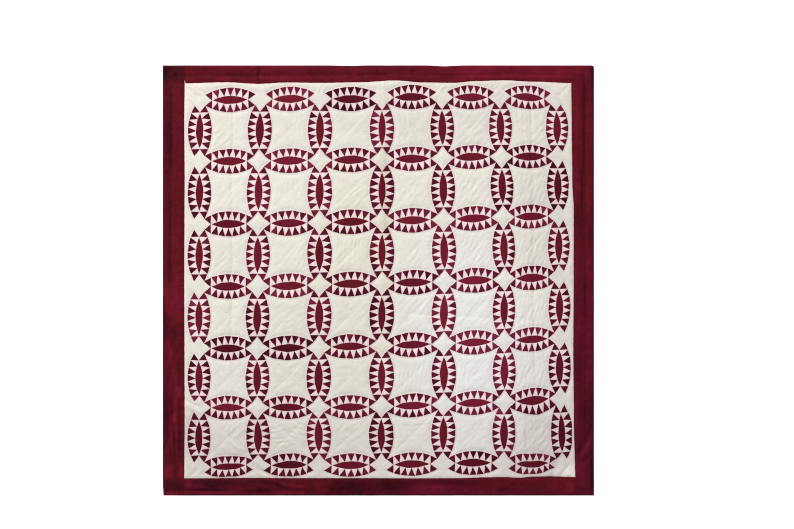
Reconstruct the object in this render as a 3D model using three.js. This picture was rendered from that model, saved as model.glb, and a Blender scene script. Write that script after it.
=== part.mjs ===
// A hand-quilted bed quilt of six by six interlocking wedding rings, lying flat, face up.
// Millimetres. The origin is the middle of the face it lies on; +X is the quilt's right,
// +Y its top edge and +Z up. One filled, quilted panel holds the pieced rings, and four
// plain border strips are sewn round it: the side strips run the full length of the quilt,
// and the top and bottom strips are butted in between them.
import * as THREE from "three";

// Driving dimensions.
const QUILT_WIDTH = 2154;
const QUILT_LENGTH = 2149;
const RINGS = 6; // rings across, and rings down
const SEAM_GAP = 0.3; // free space between two sewn solids

// Heights above the surface that the quilt lies on.
const SEAM_HEIGHT = 5; // the cloth where it is sewn down
const SQUARE_CROWN = 3.4; // each quarter of a background square, over its seams
const DIAMOND_CROWN = 1.8;
const MELON_CROWN = 2.2;
const BAND_CROWN = 1.6;
const MELON_SEAM_LIFT = 1.2; // a melon's seams are hardly drawn down
const STRIP_CROWN = 3; // a border strip, on each side of its quilting
const EDGE_HEIGHT = 2.4; // the turned outer edge of the border
const EDGE_ROUNDING = 7; // how far in from the edge the border starts to round over
const STRIP_STEP = 62; // the longest straight step along a border strip

// The ring pattern, as shares of the distance between two joining diamonds.
const DIAMOND_REACH = 0.2; // from a diamond's middle to its points
const CORNER_REACH = 0.087; // and, both ways, to the squares' corners, which poke into it
const MELON_HALF_WIDTH = 0.065;
const LENS_HALF_WIDTH = 0.1985; // middle of a melon to the outside of its band of wedges
const ARC_STEPS = 4; // straight steps along one arc

// Hand-sewn rings are never quite square: where each column and row of diamonds runs.
const COLUMNS = [
  { top: -891, middle: -895, bottom: -894 },
  { top: -592, middle: -604, bottom: -604 },
  { top: -292, middle: -295, bottom: -300 },
  { top: 19, middle: 18, bottom: 15 },
  { top: 320, middle: 328, bottom: 325 },
  { top: 611, middle: 628, bottom: 628 },
  { top: 892, middle: 902, bottom: 913 },
];
const ROWS = [
  { left: 901, middle: 911, right: 914 },
  { left: 595, middle: 604, right: 620 },
  { left: 282, middle: 296, right: 320 },
  { left: -31, middle: -15, right: 12 },
  { left: -340, middle: -328, right: -295 },
  { left: -638, middle: -630, right: -601 },
  { left: -931, middle: -921, right: -910 },
];
const TABLE_REACH = 760; // the tables' outer columns hold this far from the middle

// Where the cloth has been pulled out of line: middle, reach, and how far it has moved.
const PULLS = [
  { x: 905, y: 760, reach: 120, right: 0, up: -11 },
  { x: 618, y: 450, reach: 100, right: -1, up: 5 },
  { x: 905, y: 450, reach: 120, right: 0, up: -6 },
  { x: 905, y: -790, reach: 120, right: 3, up: -16 },
  { x: 765, y: -885, reach: 110, right: 0, up: -7 },
  { x: 845, y: -965, reach: 60, right: 0, up: 13 },
  { x: 755, y: -990, reach: 48, right: 0, up: 9 },
  { x: 755, y: -855, reach: 48, right: 0, up: -8 },
  { x: 800, y: -575, reach: 55, right: 0, up: 5 },
  { x: 790, y: -672, reach: 55, right: 0, up: -9 },
  { x: -750, y: -990, reach: 55, right: 0, up: 9 },
  { x: -645, y: -950, reach: 65, right: 0, up: 10 },
  { x: -750, y: -870, reach: 48, right: 0, up: -5 },
  { x: -440, y: -920, reach: 110, right: 12, up: 8 },
  { x: -140, y: -920, reach: 110, right: 9, up: 1 },
  { x: -450, y: -635, reach: 110, right: 0, up: 4 },
  { x: -298, y: -775, reach: 100, right: 1, up: 7 },
  { x: 326, y: -768, reach: 100, right: 0, up: 4 },
  { x: 480, y: -10, reach: 260, right: 4, up: 0 },
  { x: 770, y: 290, reach: 120, right: 4, up: 0 },
  { x: 172, y: 296, reach: 110, right: -5, up: 0 },
  { x: -140, y: 905, reach: 110, right: -2, up: -6 },
  { x: 172, y: 905, reach: 110, right: -3, up: 4 },
];

// The seam between the panel and each strip: how far out it lies at places along it.
const TOP_SEAM = [
  { along: -963, out: 984 },
  { along: -758, out: 989 },
  { along: -603, out: 981 },
  { along: -458, out: 988 },
  { along: -293, out: 986 },
  { along: -93, out: 989 },
  { along: 82, out: 998 },
  { along: 227, out: 988 },
  { along: 377, out: 986 },
  { along: 483, out: 995 },
  { along: 628, out: 999 },
  { along: 773, out: 992 },
  { along: 965, out: 985 },
];
const BOTTOM_SEAM = [
  { along: -970, out: 988 },
  { along: -620, out: 986 },
  { along: -310, out: 987 },
  { along: 0, out: 987 },
  { along: 180, out: 988 },
  { along: 400, out: 987 },
  { along: 520, out: 983 },
  { along: 628, out: 981 },
  { along: 700, out: 985 },
  { along: 770, out: 979 },
  { along: 850, out: 978 },
  { along: 985, out: 981 },
];
const LEFT_SEAM = [
  { along: -988, out: 969 },
  { along: -700, out: 967 },
  { along: -300, out: 968 },
  { along: 0, out: 969 },
  { along: 300, out: 968 },
  { along: 500, out: 967 },
  { along: 800, out: 969 },
  { along: 987, out: 967 },
];
const RIGHT_SEAM = [
  { along: -981, out: 982 },
  { along: -700, out: 976 },
  { along: -350, out: 973 },
  { along: 0, out: 975 },
  { along: 350, out: 975 },
  { along: 500, out: 968 },
  { along: 800, out: 965 },
  { along: 989, out: 963 },
];

// The border strips: the seam that each is sewn on by, the share of its width from that
// seam to its one line of quilting, and how it lies. `place` puts a distance along the
// strip, and one out from the quilt's middle, on the quilt.
const STRIPS = [
  {
    name: "border_left",
    seam: fullLength(LEFT_SEAM),
    edge: QUILT_WIDTH / 2,
    quilting: 0.67,
    place: (along, out) => new THREE.Vector2(-out, along),
  },
  {
    name: "border_right",
    seam: fullLength(RIGHT_SEAM),
    edge: QUILT_WIDTH / 2,
    quilting: 0.58,
    place: (along, out) => new THREE.Vector2(out, along),
  },
  {
    name: "border_top",
    seam: between(TOP_SEAM, LEFT_SEAM.at(-1).out, RIGHT_SEAM.at(-1).out),
    edge: QUILT_LENGTH / 2,
    quilting: 0.42,
    place: (along, out) => new THREE.Vector2(along, out),
  },
  {
    name: "border_bottom",
    seam: between(BOTTOM_SEAM, LEFT_SEAM[0].out, RIGHT_SEAM[0].out),
    edge: QUILT_LENGTH / 2,
    quilting: 0.7,
    place: (along, out) => new THREE.Vector2(along, -out),
  },
];

// Soft folds and old storage creases: a ridge from one place to another, tapered at both
// ends, so high and so wide to either side. A negative rise is a crease pressed in.
const FOLDS = [
  { x1: -727, y1: 1060, x2: -733, y2: -430, rise: -1.4, spread: 16 }, // storage creases
  { x1: 26, y1: 1060, x2: 32, y2: -60, rise: 1.8, spread: 22 },
  { x1: 762, y1: 1000, x2: 783, y2: -590, rise: -1.6, spread: 20 },
  { x1: 850, y1: -1010, x2: 925, y2: -850, rise: -3.4, spread: 30 }, // by the lower right ring
  { x1: 950, y1: -1000, x2: 1060, y2: -880, rise: 2.4, spread: 20 },
  { x1: -990, y1: -606, x2: -870, y2: -672, rise: 2.2, spread: 20 },
  { x1: -645, y1: -885, x2: -470, y2: -1000, rise: 3, spread: 18 },
  { x1: -930, y1: -1030, x2: -590, y2: -1050, rise: 2.2, spread: 16 },
  { x1: -560, y1: -1000, x2: -330, y2: -1042, rise: 2.6, spread: 16 },
  { x1: 1077, y1: -705, x2: 983, y2: -885, rise: -2.6, spread: 18 },
  { x1: -1060, y1: -900, x2: -985, y2: -520, rise: 2.6, spread: 17 },
];

const CREAM_COTTON = new THREE.MeshStandardMaterial({
  color: 0xe6e0d6,
  roughness: 0.9,
  metalness: 0,
});
const MAROON_COTTON = new THREE.MeshStandardMaterial({
  color: 0x681a28,
  roughness: 0.8,
  metalness: 0,
});

// The curve through three values at -reach, 0 and reach.
function throughThree(low, middle, high, reach, at) {
  const t = at / reach;
  return middle + ((high - low) / 2) * t + ((high + low) / 2 - middle) * t * t;
}

// The value at a place between numbered lines, or past the first or last one.
function betweenLines(count, at, valueOf) {
  const line = Math.min(Math.max(Math.floor(at), 0), count - 2);
  return THREE.MathUtils.lerp(valueOf(line), valueOf(line + 1), at - line);
}

// A place in ring units, u rings from the left column of diamonds and v from the top row.
function place(u, v) {
  const xOf = (y) => (i) =>
    throughThree(COLUMNS[i].bottom, COLUMNS[i].middle, COLUMNS[i].top, TABLE_REACH, y);
  const yOf = (x) => (j) =>
    throughThree(ROWS[j].left, ROWS[j].middle, ROWS[j].right, TABLE_REACH, x);
  let x = 0;
  let y = 0;
  for (let pass = 0; pass < 4; pass++) {
    x = betweenLines(COLUMNS.length, u, xOf(y));
    y = betweenLines(ROWS.length, v, yOf(x));
  }
  const spot = new THREE.Vector2(x, y);
  for (const pull of PULLS) {
    const off = Math.hypot(x - pull.x, y - pull.y) / pull.reach;
    const share = Math.exp(-off * off);
    spot.x += pull.right * share;
    spot.y += pull.up * share;
  }
  return spot;
}

// How much the folds lift the cloth at a place.
function foldLift(x, y) {
  let lift = 0;
  for (const fold of FOLDS) {
    const run = new THREE.Vector2(fold.x2 - fold.x1, fold.y2 - fold.y1);
    const away = new THREE.Vector2(x - fold.x1, y - fold.y1);
    const share = away.dot(run) / run.lengthSq();
    if (share > 0 && share < 1) {
      const off = away.cross(run) / run.length() / fold.spread;
      lift += fold.rise * Math.sin(Math.PI * share) * Math.exp(-off * off);
    }
  }
  return lift;
}

function onCloth(spot, height) {
  return new THREE.Vector3(spot.x, spot.y, height + foldLift(spot.x, spot.y));
}

// Gathers triangles, and gives them back as one geometry.
class Faces {
  constructor() {
    this.corners = [];
  }
  add(a, b, c) {
    this.corners.push(a, b, c);
  }
  quad(a, b, c, d) {
    this.add(a, b, c);
    this.add(a, c, d);
  }
  // A patch crowned in the middle: a loop that runs anticlockwise seen from above.
  crown(loop, peak) {
    loop.forEach((corner, i) => this.add(corner, loop[(i + 1) % loop.length], peak));
  }
  geometry() {
    const made = new THREE.BufferGeometry().setFromPoints(this.corners);
    made.computeVertexNormals();
    return made;
  }
}

// Half of a lens, seen along its own length: how far from its middle line the rounded
// edge stands, for an edge that is `tip` away at `reach` and `bulge` away in the middle.
function arcHeight(s, reach, tip, bulge) {
  const sagitta = bulge - tip;
  const radius = (reach * reach + sagitta * sagitta) / (2 * sagitta);
  return bulge - radius + Math.sqrt(radius * radius - s * s);
}

// The named places of the lens between two diamonds. `at` turns a distance along the
// lens from its middle, and one across it, into a place on the panel.
function lensPlaces(at) {
  const melonReach = 0.5 - DIAMOND_REACH;
  const bandReach = 0.5 - CORNER_REACH;
  const side = (sign) => {
    const inner = [];
    const middle = [];
    const outer = [];
    for (let k = 0; k <= ARC_STEPS; k++) {
      const s = melonReach * ((2 * k) / ARC_STEPS - 1);
      const low = arcHeight(s, melonReach, 0, MELON_HALF_WIDTH);
      const high = arcHeight(s, bandReach, CORNER_REACH, LENS_HALF_WIDTH);
      const lift = k % ARC_STEPS ? MELON_SEAM_LIFT : 0;
      inner.push(onCloth(at(s, sign * low), SEAM_HEIGHT + lift));
      middle.push(onCloth(at(s, (sign * (low + high)) / 2), SEAM_HEIGHT + BAND_CROWN));
      outer.push(onCloth(at(s, sign * high), SEAM_HEIGHT));
    }
    return {
      inner,
      middle,
      outer,
      start: onCloth(at(-bandReach, sign * CORNER_REACH), SEAM_HEIGHT),
      end: onCloth(at(bandReach, sign * CORNER_REACH), SEAM_HEIGHT),
    };
  };
  return {
    upper: side(1),
    lower: side(-1),
    peak: onCloth(at(0, 0), SEAM_HEIGHT + MELON_CROWN),
  };
}

const acrossLens = (i, j) => lensPlaces((s, t) => place(i + 0.5 + s, j - t));
const downLens = (i, j) => lensPlaces((s, t) => place(i + t, j + 0.5 + s));

// The whole outer edge of a band, from one tip to the other.
const edgeOf = (band) => [band.start, ...band.outer, band.end];
const backwards = (points) => [...points].reverse();

// The melon and its two bands of wedges.
function sewLens(faces, lens) {
  const { upper, lower, peak } = lens;
  faces.crown([...lower.inner, ...backwards(upper.inner).slice(1, -1)], peak);
  for (const [band, turned] of [
    [upper, false],
    [lower, true],
  ]) {
    const quad = (a, b, c, d) => (turned ? faces.quad(d, c, b, a) : faces.quad(a, b, c, d));
    for (let k = 0; k < ARC_STEPS; k++) {
      quad(band.inner[k], band.inner[k + 1], band.middle[k + 1], band.middle[k]);
      quad(band.middle[k], band.middle[k + 1], band.outer[k + 1], band.outer[k]);
    }
    quad(band.start, band.inner[0], band.middle[0], band.outer[0]);
    quad(band.end, band.outer[ARC_STEPS], band.middle[ARC_STEPS], band.inner[ARC_STEPS]);
  }
}

// A background square, quilted corner to corner, so that each quarter has its own crown.
function sewSquare(faces, i, j, across, down) {
  const middle = onCloth(place(i + 0.5, j + 0.5), SEAM_HEIGHT + 0.5);
  const sides = [
    backwards(edgeOf(across[j][i].lower)),
    edgeOf(down[j][i].upper),
    edgeOf(across[j + 1][i].upper),
    backwards(edgeOf(down[j][i + 1].lower)),
  ];
  for (const side of sides) {
    const loop = [middle, ...side];
    const peak = side[Math.floor(side.length / 2)].clone().lerp(middle, 0.42);
    peak.z = SEAM_HEIGHT + SQUARE_CROWN + foldLift(peak.x, peak.y);
    faces.crown(loop, peak);
  }
}

// The white diamond where four lenses meet.
function sewDiamond(faces, i, j) {
  const loop = [];
  for (let k = 0; k < 8; k++) {
    const turn = (k * Math.PI) / 4;
    const far = k % 2 ? CORNER_REACH * Math.SQRT2 : DIAMOND_REACH;
    loop.push(onCloth(place(i + far * Math.cos(turn), j - far * Math.sin(turn)), SEAM_HEIGHT));
  }
  faces.crown(loop, onCloth(place(i, j), SEAM_HEIGHT + DIAMOND_CROWN));
}

// The outside of the ring pattern, clockwise from its top left diamond.
function ringOutline(across, down) {
  const outline = [];
  const turnIn = (lens, end) => (end ? lens.upper.inner[ARC_STEPS] : lens.upper.inner[0]);
  for (let i = 0; i < RINGS; i++) {
    const lens = across[0][i];
    outline.push(turnIn(lens, false), ...edgeOf(lens.upper), turnIn(lens, true), lens.lower.end);
    outline.push(turnIn(down[0][i + 1], false));
    if (i < RINGS - 1) outline.push(across[0][i + 1].lower.start);
  }
  for (let j = 0; j < RINGS; j++) {
    const lens = down[j][RINGS];
    outline.push(...edgeOf(lens.upper), turnIn(lens, true), lens.lower.end);
    outline.push(turnIn(across[j + 1][RINGS - 1], true));
    if (j < RINGS - 1) {
      outline.push(down[j + 1][RINGS].lower.start, turnIn(down[j + 1][RINGS], false));
    }
  }
  for (let i = RINGS - 1; i >= 0; i--) {
    const lens = across[RINGS][i];
    outline.push(...backwards(edgeOf(lens.lower)), turnIn(lens, false), lens.upper.start);
    outline.push(turnIn(down[RINGS - 1][i], true));
    if (i > 0) {
      outline.push(across[RINGS][i - 1].upper.end, turnIn(across[RINGS][i - 1], true));
    }
  }
  for (let j = RINGS - 1; j >= 0; j--) {
    const lens = down[j][0];
    outline.push(...backwards(edgeOf(lens.lower)), turnIn(lens, false), lens.upper.start);
    if (j > 0) {
      outline.push(turnIn(across[j][0], false), down[j - 1][0].upper.end);
      outline.push(turnIn(down[j - 1][0], true));
    }
  }
  return outline;
}

// The panel's own outline, clockwise from its top left corner, half a gap inside the seams.
function panelOutline() {
  const inset = SEAM_GAP / 2;
  const top = TOP_SEAM.map((p) => new THREE.Vector2(p.along, p.out - inset));
  const right = RIGHT_SEAM.map((p) => new THREE.Vector2(p.out - inset, p.along)).reverse();
  const bottom = BOTTOM_SEAM.map((p) => new THREE.Vector2(p.along, inset - p.out)).reverse();
  const left = LEFT_SEAM.map((p) => new THREE.Vector2(inset - p.out, p.along));
  const sides = [top, right, bottom, left];
  sides.forEach((side, k) => {
    const end = side.at(-1);
    const next = sides[(k + 1) % sides.length][0];
    const upright = k % 2 === 1;
    end.set(upright ? end.x : next.x, upright ? next.y : end.y);
  });
  return sides.flatMap((side) => side.slice(1));
}

function piecedPanel() {
  const numbers = [...Array(RINGS + 1).keys()];
  const rings = numbers.slice(0, RINGS);
  const across = numbers.map((j) => rings.map((i) => acrossLens(i, j)));
  const down = rings.map((j) => numbers.map((i) => downLens(i, j)));
  const faces = new Faces();
  across.flat().forEach((lens) => sewLens(faces, lens));
  down.flat().forEach((lens) => sewLens(faces, lens));
  for (const j of rings) for (const i of rings) sewSquare(faces, i, j, across, down);
  for (let j = 1; j < RINGS; j++) for (let i = 1; i < RINGS; i++) sewDiamond(faces, i, j);
  const outside = panelOutline();
  const rim = outside.map((spot) => onCloth(spot, SEAM_HEIGHT));
  const inside = ringOutline(across, down);
  const flat = (points) => points.map((p) => new THREE.Vector2(p.x, p.y));
  const both = [...rim, ...inside];
  for (const [a, b, c] of THREE.ShapeUtils.triangulateShape(flat(rim), [flat(inside)]))
    faces.add(...anticlockwise(both[a], both[b], both[c]));
  closeUnder(faces, rim);
  return faces.geometry();
}

function anticlockwise(a, b, c) {
  const turn = (b.x - a.x) * (c.y - a.y) - (b.y - a.y) * (c.x - a.x);
  return turn > 0 ? [a, b, c] : [a, c, b];
}

const footOf = (p) => new THREE.Vector3(p.x, p.y, 0);

// Walls down from a rim, and the flat underside that they stand on.
function closeUnder(faces, rim) {
  const foot = rim.map(footOf);
  rim.forEach((top, k) => {
    const next = (k + 1) % rim.length;
    faces.quad(top, rim[next], foot[next], foot[k]);
  });
  const flat = foot.map((p) => new THREE.Vector2(p.x, p.y));
  for (const [a, b, c] of THREE.ShapeUtils.triangulateShape(flat, []))
    faces.add(...anticlockwise(foot[a], foot[b], foot[c]).reverse());
}

// A strip's cross-section, from its seam to the quilt's edge: how far out, and how high.
function stripSection(seamOut, { edge, quilting }) {
  const width = edge - seamOut;
  const line = quilting * width;
  return [
    { out: seamOut, height: SEAM_HEIGHT },
    { out: seamOut + line / 2, height: SEAM_HEIGHT + STRIP_CROWN },
    { out: seamOut + line, height: SEAM_HEIGHT },
    { out: seamOut + (line + width) / 2, height: SEAM_HEIGHT + STRIP_CROWN * 0.8 },
    { out: edge - EDGE_ROUNDING, height: SEAM_HEIGHT + 0.6 },
    { out: edge, height: EDGE_HEIGHT },
  ];
}

// A seam with more places along it, none further apart than STRIP_STEP.
function closerTogether(seam) {
  const closer = [seam[0]];
  for (let k = 0; k + 1 < seam.length; k++) {
    const steps = Math.ceil((seam[k + 1].along - seam[k].along) / STRIP_STEP);
    for (let n = 1; n <= steps; n++)
      closer.push({
        along: THREE.MathUtils.lerp(seam[k].along, seam[k + 1].along, n / steps),
        out: THREE.MathUtils.lerp(seam[k].out, seam[k + 1].out, n / steps),
      });
  }
  return closer;
}

function borderStrip(strip) {
  const mirrored = strip.place(1, 0).cross(strip.place(0, 1)) < 0;
  const places = closerTogether(strip.seam);
  const rows = (mirrored ? backwards(places) : places).map(({ along, out }) =>
    stripSection(out + SEAM_GAP / 2, strip).map((spot) =>
      onCloth(strip.place(along, spot.out), spot.height),
    ),
  );
  const feet = rows.map((row) => [footOf(row[0]), footOf(row.at(-1))]);
  const faces = new Faces();
  for (let k = 0; k + 1 < rows.length; k++) {
    for (let n = 0; n + 1 < rows[k].length; n++)
      faces.quad(rows[k][n], rows[k + 1][n], rows[k + 1][n + 1], rows[k][n + 1]);
    faces.quad(feet[k][0], feet[k + 1][0], rows[k + 1][0], rows[k][0]);
    faces.quad(rows[k].at(-1), rows[k + 1].at(-1), feet[k + 1][1], feet[k][1]);
    faces.quad(feet[k][1], feet[k + 1][1], feet[k + 1][0], feet[k][0]);
  }
  closeEnd(faces, [...rows[0], feet[0][1], feet[0][0]]);
  closeEnd(faces, backwards([...rows.at(-1), feet.at(-1)[1], feet.at(-1)[0]]));
  return faces.geometry();
}

// The flat end of a strip: a fan over its outline.
function closeEnd(faces, outline) {
  const hub = outline.at(-1).z === 0 ? outline.at(-1) : outline[0];
  outline.forEach((corner, k) => {
    const next = outline[(k + 1) % outline.length];
    if (corner !== hub && next !== hub) faces.add(hub, corner, next);
  });
}

// A side strip runs on past the panel's corners to the quilt's own.
function fullLength(seam) {
  const half = QUILT_LENGTH / 2;
  return [{ along: -half, out: seam[0].out }, ...seam, { along: half, out: seam.at(-1).out }];
}

// A top or bottom strip ends half a gap short of the side strips.
function between(seam, left, right) {
  const ends = [...seam];
  ends[0] = { along: SEAM_GAP / 2 - left, out: seam[0].out };
  ends[ends.length - 1] = { along: right - SEAM_GAP / 2, out: seam.at(-1).out };
  return ends;
}

const quilt = new THREE.Group();

function sewOn(name, geometry, material) {
  const mesh = new THREE.Mesh(geometry, material);
  mesh.name = name;
  quilt.add(mesh);
}

sewOn("ring_panel", piecedPanel(), CREAM_COTTON);
for (const strip of STRIPS) sewOn(strip.name, borderStrip(strip), MAROON_COTTON);

export default quilt;
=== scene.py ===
"""A hand-quilted wedding ring quilt of cream and maroon cotton, laid out flat, face up.

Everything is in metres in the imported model's own frame: the quilt lies on z = 0 with its
middle at the origin, its right side towards +X and its top edge towards +Y.

The order below is the maker's: sizes, the lie of the rings, the patches, the quilting, how
the cloth lies over its filling, the cloth pieces themselves, the thread, the finishes,
and at the end the floor, the lights and the camera.
"""

import math

import bpy
import numpy as np
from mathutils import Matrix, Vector, geometry, kdtree


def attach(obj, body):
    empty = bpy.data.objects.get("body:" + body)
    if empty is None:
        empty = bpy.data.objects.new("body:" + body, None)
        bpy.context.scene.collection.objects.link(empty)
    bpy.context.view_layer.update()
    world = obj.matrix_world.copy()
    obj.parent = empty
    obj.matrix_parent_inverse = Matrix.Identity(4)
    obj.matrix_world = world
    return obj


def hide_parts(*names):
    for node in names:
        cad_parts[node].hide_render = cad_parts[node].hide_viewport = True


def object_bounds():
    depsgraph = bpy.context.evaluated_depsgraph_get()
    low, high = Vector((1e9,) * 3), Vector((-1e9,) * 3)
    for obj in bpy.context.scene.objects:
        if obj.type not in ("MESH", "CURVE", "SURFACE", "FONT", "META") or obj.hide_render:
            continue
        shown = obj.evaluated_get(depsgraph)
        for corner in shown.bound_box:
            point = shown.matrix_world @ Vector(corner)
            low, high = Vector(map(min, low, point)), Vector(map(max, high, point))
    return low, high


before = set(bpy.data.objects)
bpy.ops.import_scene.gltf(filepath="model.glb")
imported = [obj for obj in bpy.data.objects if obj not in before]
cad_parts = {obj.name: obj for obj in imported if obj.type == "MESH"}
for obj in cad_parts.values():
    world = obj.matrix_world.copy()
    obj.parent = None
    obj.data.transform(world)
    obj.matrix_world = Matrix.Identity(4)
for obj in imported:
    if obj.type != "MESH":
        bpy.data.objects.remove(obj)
CAD_LOW, CAD_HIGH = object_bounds()

# ---------------------------------------------------------------- driving sizes
MM = 0.001
RINGS = 6  # across, and down
BLOCK = 303 * MM  # from one joining diamond to the next, about 12 inches
HALF_WIDTH = CAD_HIGH.x
HALF_LENGTH = CAD_HIGH.y

# The ring pattern, as shares of a block. A lens is a melon between its two bands of wedges.
DIAMOND_REACH = 0.2
CORNER_REACH = 0.087  # a square's corner pokes in here, so a diamond's sides bend inwards
TIP_REACH = 0.5 - DIAMOND_REACH  # from the middle of a lens to a diamond's tip
MELON_REACH = 0.286  # a melon stops short of it, and the wedges on either side meet
BAND_REACH = 0.5 - CORNER_REACH
MELON_HALF_WIDTH = 0.065
LENS_HALF_WIDTH = 0.1985
# The two arcs of a lens: half its length, and how far out its ends and its middle are.
MELON_ARC = (MELON_REACH, 0, MELON_HALF_WIDTH)
BAND_ARC = (BAND_REACH, CORNER_REACH, LENS_HALF_WIDTH)
# How much fuller (or, if negative, slimmer) the melons of each row and column were cut.
FULLER_ACROSS = (0.01, 0.05, 0.0, 0.05, -0.04, 0.0, 0.02)
FULLER_DOWN = (-0.05, 0.03, 0.02, -0.13, 0.0, 0.02, 0.03)
CREAM_WEDGES = 6  # in one band, between seven maroon ones
CREAM_TIP = 0.006  # the tip of a cream wedge, not quite a point, on the band's outer edge
MAROON_TIP = 0.003  # and of a maroon one on the melon's edge
WEDGE_LEAN = 0.2  # turns that a wedge's threads lean, for each block it is from the middle
LENS_DYE = 0.72  # one lens was cut from a deeper or paler piece than the next, by about this
PATCH_DYE = 0.6  # and one patch of a lens than the next, by about this

# Spacing of the points that make the cloth.
FACE_SPACING = 5.2 * MM
BACK_SPACING = 10 * MM

# How the filled cloth lies.
SEAM_HEIGHT = 5.0 * MM
PUFF = 2.7 * MM  # how far it swells away from the quilting
PUFF_REACH = 10 * MM
CREASE_REACH = 4 * MM  # along them the cloth is pressed flat, and is painted lighter as a highlight
CROSS_REACH = 11 * MM  # the lines from corner to corner are looser, and sink less
MELON_SINK = 0.22  # and the seams round the melons by this share
SEAM_DIP = 0.1 * MM  # a pressed seam with no quilting in it
SEAM_REACH = 2 * MM
RING_PUCKER = 0.95 * MM  # the small gathers that the lines round the rings draw up
CORNER_PUCKER = 0.7 * MM  # and those from corner to corner
PUCKER_LENGTH = 8 * MM
PUCKER_REACH = 9 * MM
PUCKER_START = 2 * MM  # in the line itself there are none
ECHO = 6.5 * MM / BLOCK  # quilting follows the rings a quarter of an inch outside them
CORNER_LINE = (-0.04, -0.2)  # the short line out from each corner diamond
STITCH_PITCH = 4.2 * MM
STITCH_LENGTH = 2.6 * MM
STITCH_WIDTH = 0.75 * MM
STITCH_DIP = -0.25 * MM  # its ends, from the cloth's face
STITCH_SIDE = 0.12 * MM
STITCH_CROWN = 0.5 * MM
THREAD_RELIEF = 0.07 * MM
WRINKLE_WIDTH = 1.25  # washing has spread the wrinkles by this
WRINKLES_HELD = 0.4  # beside the quilting, they are lower by this share
WRINKLES_HELD_REACH = 6 * MM

# How far things stray from true, and over what distance they do so.
SEWING_STRAYS = ((1.7 * MM, 0.034), (1.0 * MM, 0.16))  # the patches' seams
SEAM_STRAY = (0.7 * MM, 0.022)  # the border's seams
QUILTING_STRAY = (1.2 * MM, 0.12)  # the stitches along its strips
FOLD_STRAY = (5 * MM, 0.11)
WRINKLE_STRAY = (9 * MM, 0.05)
RUMPLES = ((0.32 * MM, 0.013), (0.8 * MM, 0.045))  # in the cloth's face, all over
LONG_SWELL = (1.0 * MM, 0.085)  # and along the border's strips
SHORT_SWELL = (0.55 * MM, 0.03)

# The border.
SLIVER = 15 * MM  # the ground runs this far up between two strips, at the top left corner
BORDER_ZONE = 0.26  # the margin and the strips lie within this of the quilt's edge
LOOSE_FROM = 20 * MM  # from its seam, a strip's cloth needs this far to lie loose
FOLD_SHADE_AND_HIGHLIGHT = 0.22  # a fold's ridge is painted lighter, as a highlight, and its valley darker, as painted shade, by this per mm
EDGE_PULL = 0.3 * MM  # washing has drawn the outer edge in
EDGE_PULL_REACH = 16 * MM
EDGE_HEIGHT = 2.4 * MM
EDGE_ROUNDING = 7 * MM
TURN_ROWS = (0.8, 2.2, 4.4)  # rows of points where the edge rounds over, in mm inside it
# The hem, from the edge round to the back: how far in, and how high, in mm.
HEM = ((0.05, 1.0), (0.4, 0.35), (1.4, 0.12), (4, 0.1), (9, 0.1))
BACK_INSET = 7 * MM  # the backing's edge lies over the hem
BACK_HEIGHT = 0.3 * MM
BACK_LIFT = 1.1 * MM  # where the quilting draws it up
BACK_LIFT_REACH = 7 * MM

# The view and the light.
VIEW_WIDTH = 3.966
VIEW_MIDDLE = (0.093, 0.0795)
FILTER_WIDTH = 1.1
ROOM_LIGHT = 0.53
FLOOR_GLOW = 0.6  # the floor is a pale, lit table
FLOOR_REACH = 40
WINDOW_PLACE = (-5.6, 9.4, 6.2)
WINDOW_SIZE = 3.2
WINDOW_POWER = 1620

# Where each column and row of joining diamonds runs, in millimetres from the middle. Hand
# sewn rings are never quite square, so a line has a place at each end and in the middle.
COLUMNS = {
    "bottom": (-894, -604, -300, 15, 325, 628, 913),
    "middle": (-895, -604, -295, 18, 328, 628, 902),
    "top": (-891, -592, -292, 19, 320, 611, 892),
}
ROWS = {
    "left": (901, 595, 282, -31, -340, -638, -931),
    "middle": (911, 604, 296, -15, -328, -630, -921),
    "right": (914, 620, 320, 12, -295, -601, -910),
}
TABLE_REACH = 760  # how far from the middle the tables' ends are

# Where the cloth has been pulled out of line, in millimetres: middle, reach and how far.
PULLS = (
    # x, y, reach, right, up
    (905, 760, 120, 0, -11), (663, 918, 60, 0, 6), (838, 906, 58, -6, -6), (916, 882, 42, -4, -7),
    (618, 450, 100, -1, 5), (905, 450, 120, 0, -6), (905, -455, 110, -4, 4),
    (905, -790, 120, 3, -16), (765, -885, 110, 0, -7), (845, -965, 60, 0, 13),
    (872, -760, 60, 4, 0), (966, -760, 55, -5, 0), (943, -635, 38, -8, 0), (884, -935, 42, -11, 0),
    (755, -990, 38, 0, 9), (755, -855, 37, 0, -8), (800, -575, 55, 0, 5), (790, -672, 55, 0, -9),
    (855, -597, 45, 0, 4), (-750, -990, 47, 0, 9), (-645, -950, 65, 0, 10),
    (-750, -870, 48, 0, -5), (-895, -790, 110, -2, -3), (-928, -632, 50, 0, 11),
    (-440, -920, 110, 12, 8), (-140, -920, 110, 9, 1), (172, -920, 110, -3, 2),
    (478, -917, 110, -2, 4), (-745, -640, 110, -1, 4), (-450, -635, 110, 0, 4),
    (478, -615, 110, 0, 3), (-298, -775, 100, 1, 7), (326, -768, 100, 0, 4),
    (-604, -780, 100, 3, 2), (-140, -325, 110, -3, 2), (172, -315, 110, -4, 1),
    (478, -308, 110, -3, 0), (765, -300, 110, -3, 0), (330, -172, 100, -3, 0),
    (628, -160, 100, -3, 0), (-604, -172, 100, 0, -3), (-450, -10, 110, 3, -2),
    (-140, -12, 110, 3, 2), (480, -10, 260, 4, 0), (770, 290, 120, 4, 0), (172, 296, 110, -5, 0),
    (330, 140, 100, 0, -3), (475, 600, 110, -3, 4), (172, 606, 110, -3, 0),
    (-140, 905, 110, -2, -6), (172, 905, 110, -3, 4),
)

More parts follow.
